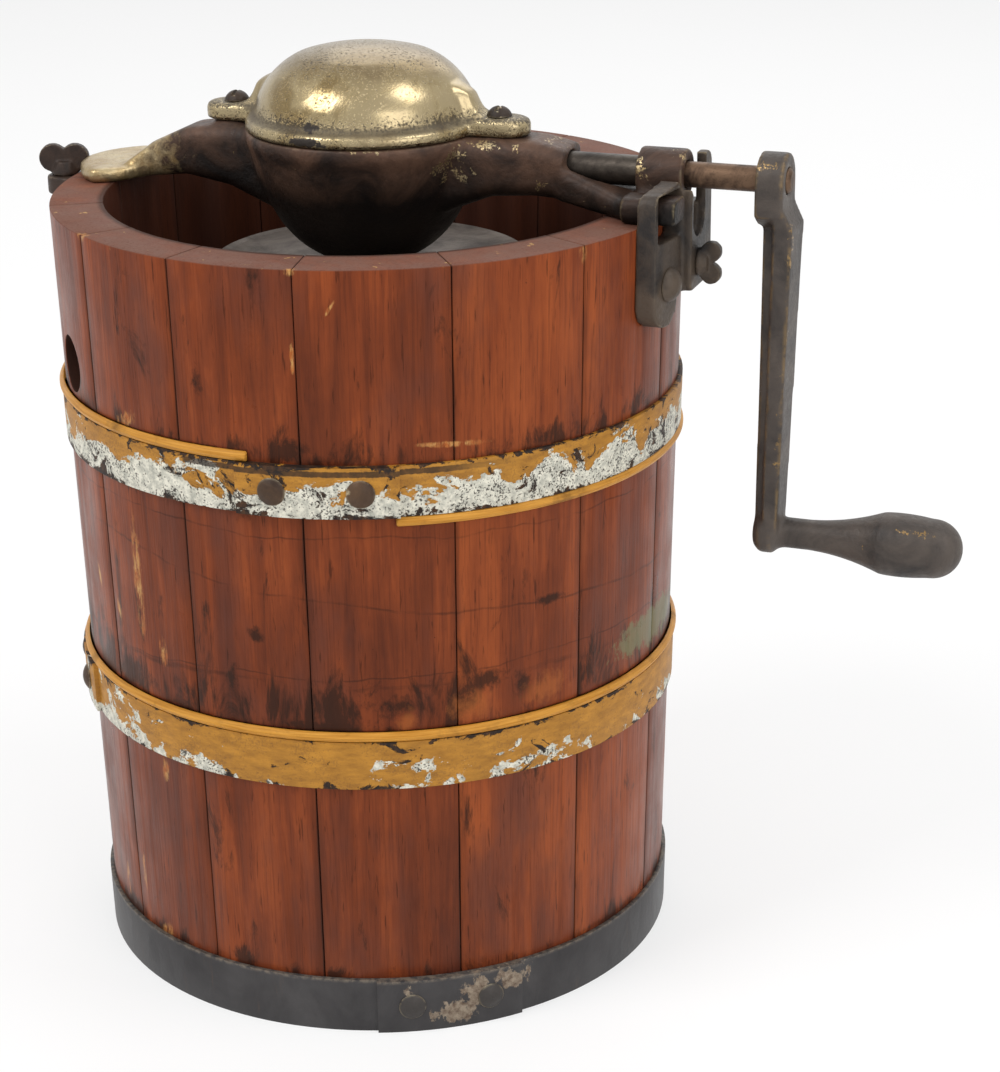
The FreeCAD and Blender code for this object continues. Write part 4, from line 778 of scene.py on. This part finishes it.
class Bench:
    """The moves that every piece is made with."""

    MERGE = 0.000002
    FLAT = math.radians(1.0)
    EVENING = 0.5
    CAST_ANGLE = 60.0
    EASED_ANGLE = 40.0

    @staticmethod
    def pick(piece: Piece) -> None:
        """Selects one piece alone and makes it the active one."""
        bpy.ops.object.select_all(action="DESELECT")
        piece.select_set(True)
        bpy.context.view_layer.objects.active = piece

    @staticmethod
    def apply(piece: Piece, kind: str, **settings: Any) -> None:
        """Adds a modifier, sets it and applies it.

        Args:
            piece: The piece to change.
            kind: The modifier's type.
            settings: Its properties.
        """
        Bench.pick(piece)
        made = piece.modifiers.new(kind.title(), kind)
        for name, value in settings.items():
            setattr(made, name, value)
        bpy.ops.object.modifier_apply(modifier=made.name)

    @staticmethod
    def copy_of(node: str) -> Piece:
        """A new piece with the merged mesh of a node, at the same place.

        Args:
            node: The node's name.

        Returns:
            The new piece.
        """
        piece = bpy.data.objects.new(node + "_piece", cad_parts[node].data.copy())
        bpy.context.scene.collection.objects.link(piece)
        piece.data.materials.clear()
        Bench.pick(piece)
        bpy.ops.object.mode_set(mode="EDIT")
        bpy.ops.mesh.select_all(action="SELECT")
        bpy.ops.mesh.remove_doubles(threshold=Bench.MERGE)
        bpy.ops.object.mode_set(mode="OBJECT")
        return piece

    @staticmethod
    def eased(node: str, width: float, steps: int = 2, angle: float = 40.0) -> Piece:
        """A copy of a node with its sharp edges rounded.

        Args:
            node: The node's name.
            width: How wide the rounding is, in metres.
            steps: How many faces the rounding has.
            angle: The least bend, in degrees, that counts as an edge.

        Returns:
            The new piece.
        """
        piece = Bench.copy_of(node)
        bpy.ops.object.mode_set(mode="EDIT")
        bpy.ops.mesh.select_all(action="SELECT")
        bpy.ops.mesh.dissolve_limited(angle_limit=Bench.FLAT)
        bpy.ops.object.mode_set(mode="OBJECT")
        Bench.apply(piece, "BEVEL", width=width, segments=steps, limit_method="ANGLE",
                    angle_limit=math.radians(angle))
        Bench.smooth(piece, Bench.EASED_ANGLE)
        return piece

    @staticmethod
    def cast(node: str, grain: float, rounds: int) -> Piece:
        """A copy of a node with the soft corners and fillets of a casting.

        Args:
            node: The node's name.
            grain: The size of the new mesh's faces, in metres.
            rounds: How often the surface is evened out.

        Returns:
            The new piece.
        """
        piece = Bench.copy_of(node)
        Bench.apply(piece, "REMESH", mode="VOXEL", voxel_size=grain)
        Bench.apply(piece, "SMOOTH", factor=Bench.EVENING, iterations=rounds)
        Bench.smooth(piece, Bench.CAST_ANGLE)
        return piece

    @staticmethod
    def soften(piece: Piece, share: Callable[[Vector], float], rounds: int) -> None:
        """Evens out one part of a casting's surface.

        Args:
            piece: The piece to change.
            share: How much each point takes part, from 0 to 1.
            rounds: How often the surface is evened out.
        """
        group = piece.vertex_groups.new(name="soft")
        for vertex in piece.data.vertices:
            weight = share(vertex.co)
            if weight > 0.0:
                group.add([vertex.index], weight, "REPLACE")
        Bench.apply(piece, "SMOOTH", factor=Bench.EVENING, iterations=rounds, vertex_group="soft")
        Bench.smooth(piece, Bench.CAST_ANGLE)

    @staticmethod
    def smooth(piece: Piece, angle: float) -> None:
        """Shades the piece smooth up to a bend of so many degrees."""
        Bench.pick(piece)
        bpy.ops.object.shade_smooth_by_angle(angle=math.radians(angle))

    @staticmethod
    def bore(piece: Piece, start: Vector, end: Vector, radius: float) -> None:
        """Cuts a clean round hole through a piece.

        Args:
            piece: The piece to cut.
            start: One end of the hole's middle line.
            end: Its other end.
            radius: The hole's radius, in metres.
        """
        along = end - start
        bpy.ops.object.select_all(action="DESELECT")
        bpy.ops.mesh.primitive_cylinder_add(vertices=64, radius=radius, depth=along.length,
                                            location=(start + end) / 2,
                                            rotation=along.to_track_quat("Z", "Y").to_euler())
        tool = bpy.context.object
        Bench.apply(piece, "BOOLEAN", operation="DIFFERENCE", object=tool, solver="EXACT")
        bpy.data.objects.remove(tool)

    @staticmethod
    def settle(piece: Piece, body: Body, slot: Slot, material: bpy.types.Material,
               *nodes: str) -> None:
        """Gives a piece its finish and its place in the mechanism.

        Args:
            piece: The finished piece.
            body: What it moves with.
            slot: Not used.
            material: The finish.
            nodes: The nodes that it stands for.
        """
        piece.data.materials.clear()
        piece.data.materials.append(material)
        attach(piece, body.value)
        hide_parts(*nodes)
        log.info("%s: %d faces", piece.name, len(piece.data.polygons))


@dataclass(frozen=True)
class Lamp:
    """A soft lamp: where it hangs, how wide it is in metres, and its power in watts."""

    name: str
    place: tuple[float, float, float]
    size: float
    power: float


@dataclass
class Studio:
    """The floor, the lights and the camera."""

    eye: tuple[float, float, float] = (0.31746, -0.74534, 0.43881)
    heading: float = 20.23
    tilt: float = 69.14
    roll: float = -0.7855
    lens: float = 87.31
    aim_height: float = 0.14
    world_light: float = 0.64
    floor_size: float = 30.0
    floor_glow: float = 0.6
    lamps: tuple[Lamp, ...] = (
        Lamp("Key", (-0.8, -0.95, 1.65), 0.75, 15.0),
        Lamp("Fill", (1.3, -0.9, 0.9), 1.0, 7.0),
        Lamp("Overhead", (0.95, 0.05, 1.65), 0.6, 5.5),
        Lamp("Back", (-0.2, 1.3, 1.3), 1.2, 5.0),
    )

    def place_camera(self) -> None:
        """Puts the camera where the photograph was taken from."""
        data = bpy.data.cameras.new("Camera")
        data.lens = self.lens
        camera = bpy.data.objects.new("Camera", data)
        bpy.context.scene.collection.objects.link(camera)
        turn = (Matrix.Rotation(math.radians(self.heading), 4, "Z")
                @ Matrix.Rotation(math.radians(self.tilt), 4, "X")
                @ Matrix.Rotation(math.radians(self.roll), 4, "Z"))
        camera.matrix_world = Matrix.Translation(self.eye) @ turn
        bpy.context.scene.camera = camera

    def hang(self, lamp: Lamp) -> None:
        """Hangs one lamp, pointed at the tub.

        Args:
            lamp: What to hang.
        """
        data = bpy.data.lights.new(lamp.name, "AREA")
        data.size = lamp.size
        data.energy = lamp.power
        made = bpy.data.objects.new(lamp.name, data)
        bpy.context.scene.collection.objects.link(made)
        aim = Vector((0.0, 0.0, self.aim_height)) - Vector(lamp.place)
        made.matrix_world = (Matrix.Translation(lamp.place)
                             @ aim.to_track_quat("-Z", "Y").to_matrix().to_4x4())

    def white_rays(self, tree: bpy.types.NodeTree) -> Socket:
        """One where the camera, a reflection or clear glass looks, and nought for light."""
        path = tree.nodes.new("ShaderNodeLightPath")
        total = path.outputs["Is Camera Ray"]
        for name in ("Is Glossy Ray", "Is Transmission Ray"):
            either = tree.nodes.new("ShaderNodeMath")
            either.operation = "MAXIMUM"
            tree.links.new(total, either.inputs[0])
            tree.links.new(path.outputs[name], either.inputs[1])
            total = either.outputs[0]
        return total

    def set_world(self) -> None:
        """A white room whose light on the object stays at a plain level."""
        world = bpy.data.worlds.new("Room")
        bpy.context.scene.world = world
        world.use_nodes = True
        tree = world.node_tree
        background = tree.nodes["Background"]
        background.inputs["Color"].default_value = (1.0, 1.0, 1.0, 1.0)
        level = tree.nodes.new("ShaderNodeMapRange")
        level.inputs["To Min"].default_value = self.world_light
        tree.links.new(self.white_rays(tree), level.inputs["Value"])
        tree.links.new(level.outputs[0], background.inputs["Strength"])

    def lay_floor(self) -> None:
        """A plain pale floor that keeps the tub's soft shadow."""
        bpy.ops.object.select_all(action="DESELECT")
        bpy.ops.mesh.primitive_plane_add(size=self.floor_size, location=(0.0, 0.0, 0.0))
        floor = bpy.context.object
        floor.name = "floor"
        w = Wiring("Pale floor")
        mist = w.noise(6, 3, 0.5)
        colour = w.blend(mist, (0.93, 0.93, 0.93, 1.0), (0.95, 0.95, 0.95, 1.0))
        w.finish(colour, 0.8, gloss=0.1)
        glow = w.node("Emission")
        both = w.node("MixShader")
        share = w.times(self.white_rays(w.tree), self.floor_glow)
        w.feed(both.inputs[0], share)
        w.feed(both.inputs[1], w.shader.outputs[0])
        w.feed(both.inputs[2], glow.outputs[0])
        w.feed(w.tree.nodes["Material Output"].inputs["Surface"], both.outputs[0])
        floor.data.materials.append(w.material)

    def build(self) -> None:
        """Sets up the whole studio."""
        self.place_camera()
        self.set_world()
        self.lay_floor()
        for lamp in self.lamps:
            self.hang(lamp)
        bpy.context.scene.view_settings.view_transform = "Standard"


@dataclass
class Tub:
    """The staved wooden tub with its hoops, reeds and rivets."""

    stave_count: int = 15
    board_edge: float = 0.00035
    bottom_edge: float = 0.0004
    rivet_edge: float = 0.0002
    hoop_edge: float = 0.00035
    reed_edge: float = 0.0007
    seed_step: float = 0.37
    bottom_number: int = 4
    board_tints: tuple[float, ...] = (0.22, 0.02, 0.2, 0.08, 0.14, 0.0, 0.22, 0.1, 0.12, 0.2,
                                      0.08, 0.05, 0.06, 0.0, 0.2)
    wood: bpy.types.Material = field(default_factory=lambda: VarnishedWood().build())

    def mark_board(self, piece: Piece, number: int) -> None:
        """Stores a stave's own shift and tone, and how far each point is from a seam.

        Args:
            piece: The stave.
            number: Its place round the tub.
        """
        points = [vertex.co.xy for vertex in piece.data.vertices]
        middle = sum(points, Vector((0.0, 0.0)))
        turns = [middle.angle_signed(point) if point.length > 0.02 else 0.0 for point in points]
        first, last = min(turns), max(turns)
        gaps = [min(turn - first, last - turn) * point.length
                for turn, point in zip(turns, points)]
        count = len(points)
        tone = self.board_tints[number % len(self.board_tints)]
        for name, values in (("board_seed", [number * self.seed_step] * count),
                             ("board_tint", [tone] * count), ("seam", gaps)):
            layer = piece.data.attributes.new(name, "FLOAT", "POINT")
            layer.data.foreach_set("value", values)

    def build_staves(self) -> None:
        """The staves, with eased edges."""
        for number in range(1, self.stave_count + 1):
            node = f"stave_{number:02d}"
            piece = Bench.eased(node, self.board_edge, 2, 28.0)
            self.mark_board(piece, number)
            Bench.settle(piece, Body.TUB, Slot.WOOD, self.wood, node)

    def build_bottom(self) -> None:
        """The bottom board."""
        board = Bench.eased("tub_bottom", self.bottom_edge, 2, 32.0)
        self.mark_board(board, self.bottom_number)
        Bench.settle(board, Body.TUB, Slot.WOOD, self.wood, "tub_bottom")

    def build_hoops(self) -> None:
        """The three hoops and their rivets."""
        finishes = {
            "upper_hoop": (FlakingPaint(name="Flaking paint, upper", ochre_share=-0.1,
                                        iron_share=0.8, shade_line_from=-0.021).build(), Slot.HOOP),
            "lower_hoop": (FlakingPaint(name="Flaking paint, lower", low=0.0857, high=0.1015,
                                        ochre_share=0.9, iron_share=0.45, rise=0.2,
                                        lean=0.8).build(), Slot.HOOP),
            "bottom_hoop": (WornDarkPaint().build(), Slot.DARK_HOOP),
        }
        for node, (material, slot) in finishes.items():
            piece = Bench.eased(node, self.hoop_edge)
            Bench.settle(piece, Body.TUB, slot, material, node)
        rivets = Bench.eased("hoop_rivets", self.rivet_edge, 2, 50.0)
        # The rivets low on the tub take the bottom hoop's dark paint through the lower colour
        rust = CastIron(name="Rivet iron", dark="33241A", brown="5A4431", bright_share=0.1,
                        shade="3C3937", shade_low=0.02, shade_high=0.03).build()
        Bench.settle(rivets, Body.TUB, Slot.RIVET, rust, "hoop_rivets")

    def build_reeds(self) -> None:
        """The reeds tacked beside the hoops."""
        material = SplitReed().build()
        for node in ("lower_reed", "upper_reed_left", "upper_reed_right"):
            piece = Bench.eased(node, self.reed_edge, 3, 20.0)
            Bench.settle(piece, Body.TUB, Slot.REED, material, node)

    def build(self) -> None:
        """Everything of the tub."""
        self.build_staves()
        self.build_bottom()
        self.build_hoops()
        self.build_reeds()


@dataclass
class GearHousing:
    """The cast gear frame with its dome, and the catch and bracket that hold it."""

    shaft_height: float = 0.2605
    sleeve_room: float = 0.0049
    shaft_room: float = 0.00415
    frame_grain: float = 0.0008
    dome_grain: float = 0.0007
    clamp_grain: float = 0.0006
    hand_screw_grain: float = 0.0004
    screw_edge: float = 0.0003
    dome_screw_edge: float = 0.00025
    hood_start: float = 0.02
    boss_start: float = 0.0903
    boss_end: float = 0.12
    spindle_room: float = 0.0092
    spindle_from: float = 0.22
    spindle_to: float = 0.24
    web_from: float = 0.030
    web_low: float = 0.2725
    web_rounds: int = 70
    flecks: tuple[Mark, ...] = marks_at(
        (34, -15, 262, 8, 8), (42, -10, 268, 7, 2.5), (53, -9, 267.5, 3, 3),
        (61.5, -9, 257, 5.5, 2.8), (73.2, -9, 253.5, 5.5, 2.5), (87, -9, 251.8, 7, 1.8),
        (92, -6, 264.5, 3, 6.5), (104, -4, 267, 5, 4), (68, 0, 269, 10, 3), (-35, -8, 264, 5, 3),
        (18, -34, 268.8, 14, 1.2),
    )
    catch_flecks: tuple[Mark, ...] = marks_at(
        (107, -19, 236.2, 4, 1.4), (109, 10, 230, 4, 8), (110, 5, 250, 3, 4),
    )

    def build_frame(self) -> None:
        """The gear frame across the tub."""
        piece = Bench.cast("gear_frame", self.frame_grain, 9)
        for start, end, radius in ((self.hood_start, self.boss_start, self.sleeve_room),
                                   (self.boss_start - 0.001, self.boss_end, self.shaft_room)):
            Bench.bore(piece, Vector((start, 0, self.shaft_height)),
                       Vector((end, 0, self.shaft_height)), radius)
        Bench.bore(piece, Vector((0, 0, self.spindle_from)), Vector((0, 0, self.spindle_to)),
                   self.spindle_room)
        Bench.smooth(piece, 50.0)
        # Painted shade: the iron darkens from 267 mm down to 251 mm, on the arms' undersides and
        # in the bowl under the dome
        iron = CastIron(name="Gear frame iron", dark="2E2420", brown="62493B", bright="BBAB88",
                        gold="957A4E", bright_share=0.2, gloss=0.2, bright_from=-0.062,
                        bright_to=-0.076, flecks=self.flecks, shade_low=0.2510,
                        shade_high=0.2670).build()
        Bench.settle(piece, Body.TUB, Slot.IRON, iron, "gear_frame")

    def on_web(self, point: Vector) -> float:
        """How far a point lies on one of the webs between the dome and its ears, up to 1."""
        out = min(1.0, max(0.0, (abs(point.x) - self.web_from) / 0.004))
        return out * min(1.0, max(0.0, (point.z - self.web_low) / 0.003))

    def build_dome(self) -> None:
        """The dome cover and its two screws."""
        piece = Bench.cast("dome_cover", self.dome_grain, 8)
        Bench.soften(piece, self.on_web, self.web_rounds)
        Bench.settle(piece, Body.TUB, Slot.NICKEL, WornNickel().build(), "dome_cover")
        screws = Bench.eased("dome_screws", self.dome_screw_edge)
        dark = CastIron(name="Screw iron", dark="1E1815", brown="3E3026", bright_share=0.0).build()
        Bench.settle(screws, Body.TUB, Slot.IRON, dark, "dome_screws")

    def build_clamp(self, iron: bpy.types.Material, casting: str, fixed: str, turned: str,
                    body: Body) -> None:
        """A casting on the tub's side, with its fixed screws and the one turned by hand.

        Args:
            iron: The finish.
            casting: The casting's node.
            fixed: The fixed screws' node.
            turned: The hand screw's node.
            body: What the hand screw moves with.
        """
        piece = Bench.cast(casting, self.clamp_grain, 4)
        Bench.settle(piece, Body.TUB, Slot.IRON, iron, casting)
        screws = Bench.eased(fixed, self.screw_edge)
        Bench.settle(screws, Body.TUB, Slot.IRON, iron, fixed)
        hand_screw = Bench.cast(turned, self.hand_screw_grain, 5)
        Bench.settle(hand_screw, body, Slot.IRON, iron, turned)

    def build_catch(self) -> None:
        """The catch on the crank side, its screw and the wing screw."""
        iron = CastIron(name="Catch iron", dark="292625", brown="54483D", bright="B5A588",
                        gold="7C6240", bright_share=0.12, flecks=self.catch_flecks).build()
        self.build_clamp(iron, "right_catch", "right_catch_screw", "right_wing_screw",
                         Body.WING_SCREW)

    def build_bracket(self) -> None:
        """The bracket on the other side with its thumb screw."""
        iron = CastIron(name="Bracket iron", bright_share=0.15).build()
        self.build_clamp(iron, "left_bracket", "left_bracket_screws", "left_thumb_screw",
                         Body.THUMB_SCREW)

    def build(self) -> None:
        """Everything that stays on the tub's top."""
        self.build_frame()
        self.build_dome()
        self.build_catch()
        self.build_bracket()


@dataclass
class Crank:
    """The crank with its shaft."""

    shaft_height: float = 0.2605
    crank_grain: float = 0.0007
    shaft_edge: float = 0.0002
    bore_radius: float = 0.0041
    bore_start: float = 0.12
    bore_end: float = 0.137
    # Painted highlight: these marks gather bright flecks on the hub's top, along the arm's ridge
    # and on the grip's top, where highlights fall; they are partly worn tinning and partly painted
    # highlight
    flecks: tuple[Mark, ...] = marks_at(
        (138.8, -6, 242, 2.4, 14), (137.6, -6, 214, 1.8, 20), (136.4, -6, 180, 1.6, 16),
        (130, -6, 265.5, 6, 4), (164, -7, 149.5, 3, 1.4), (180, -7, 155.5, 6, 1.4),
    )

    def build(self) -> None:
        """The arm and its handle, and the shaft."""
        iron = CastIron(name="Crank iron", dark="322E2C", brown="524A44", bright="9C8158",
                        gold="7E6238", bright_share=0.1, edge_low=0.515, edge_high=0.56,
                        flecks=self.flecks).build()
        piece = Bench.cast("crank_handle", self.crank_grain, 6)
        Bench.bore(piece, Vector((self.bore_start, 0, self.shaft_height)),
                   Vector((self.bore_end, 0, self.shaft_height)), self.bore_radius)
        Bench.smooth(piece, 50.0)
        Bench.settle(piece, Body.CRANK, Slot.IRON, iron, "crank_handle")
        shaft = Bench.eased("crank_shaft", self.shaft_edge, 2, 32.0)
        steel = PlainMetal("Rusty shaft", "6B5442", "2C1F18", 0.45, 0.7, 160.0).build()
        Bench.settle(shaft, Body.CRANK, Slot.STEEL, steel, "crank_shaft")


@dataclass
class Inside:
    """What works inside the tub: gears, can, lid and dasher."""

    greased: tuple[str, ...] = ("drive_pinion", "lower_gear", "lower_gear_hub", "upper_gear",
                                "lid_hub", "can_pivot", "dasher_frame", "bottom_pivot_plate",
                                "pivot_plate_screws")
    steel: tuple[str, ...] = ("dasher_stem",)
    tinned: tuple[str, ...] = ("can_body", "can_lid")
    wooden: tuple[str, ...] = ("scraper_right", "scraper_left")

    def build(self) -> None:
        """Dresses the nodes whose shape is right as it is."""
        groups = (
            (self.greased, PlainMetal("Greased gear iron", "4A433C", "1F1A17", 0.42, 0.75)),
            (self.steel, PlainMetal("Bare steel", "8D8578", "4A4036", 0.35, 0.9)),
            (self.tinned, PlainMetal("Grey tinplate", "5E5349", "372E27", 0.48, 0.6, 60.0)),
            (self.wooden, PlainWood()),
        )
        for nodes, finish in groups:
            material = finish.build()
            for node in nodes:
                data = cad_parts[node].data
                data.materials.clear()
                data.materials.append(material)
                log.info("%s: %s", node, material.name)


def main() -> None:
    """Builds the studio and every sub-assembly, in order."""
    logging.basicConfig(level=logging.INFO, format="%(message)s")
    steps: tuple[tuple[str, Callable[[], None]], ...] = (
        ("studio", Studio().build),
        ("tub", Tub().build),
        ("gear housing", GearHousing().build),
        ("crank", Crank().build),
        ("inside", Inside().build),
    )
    for name, build in steps:
        build()
        log.info("%s built", name)


if __name__ == "__main__":
    main()
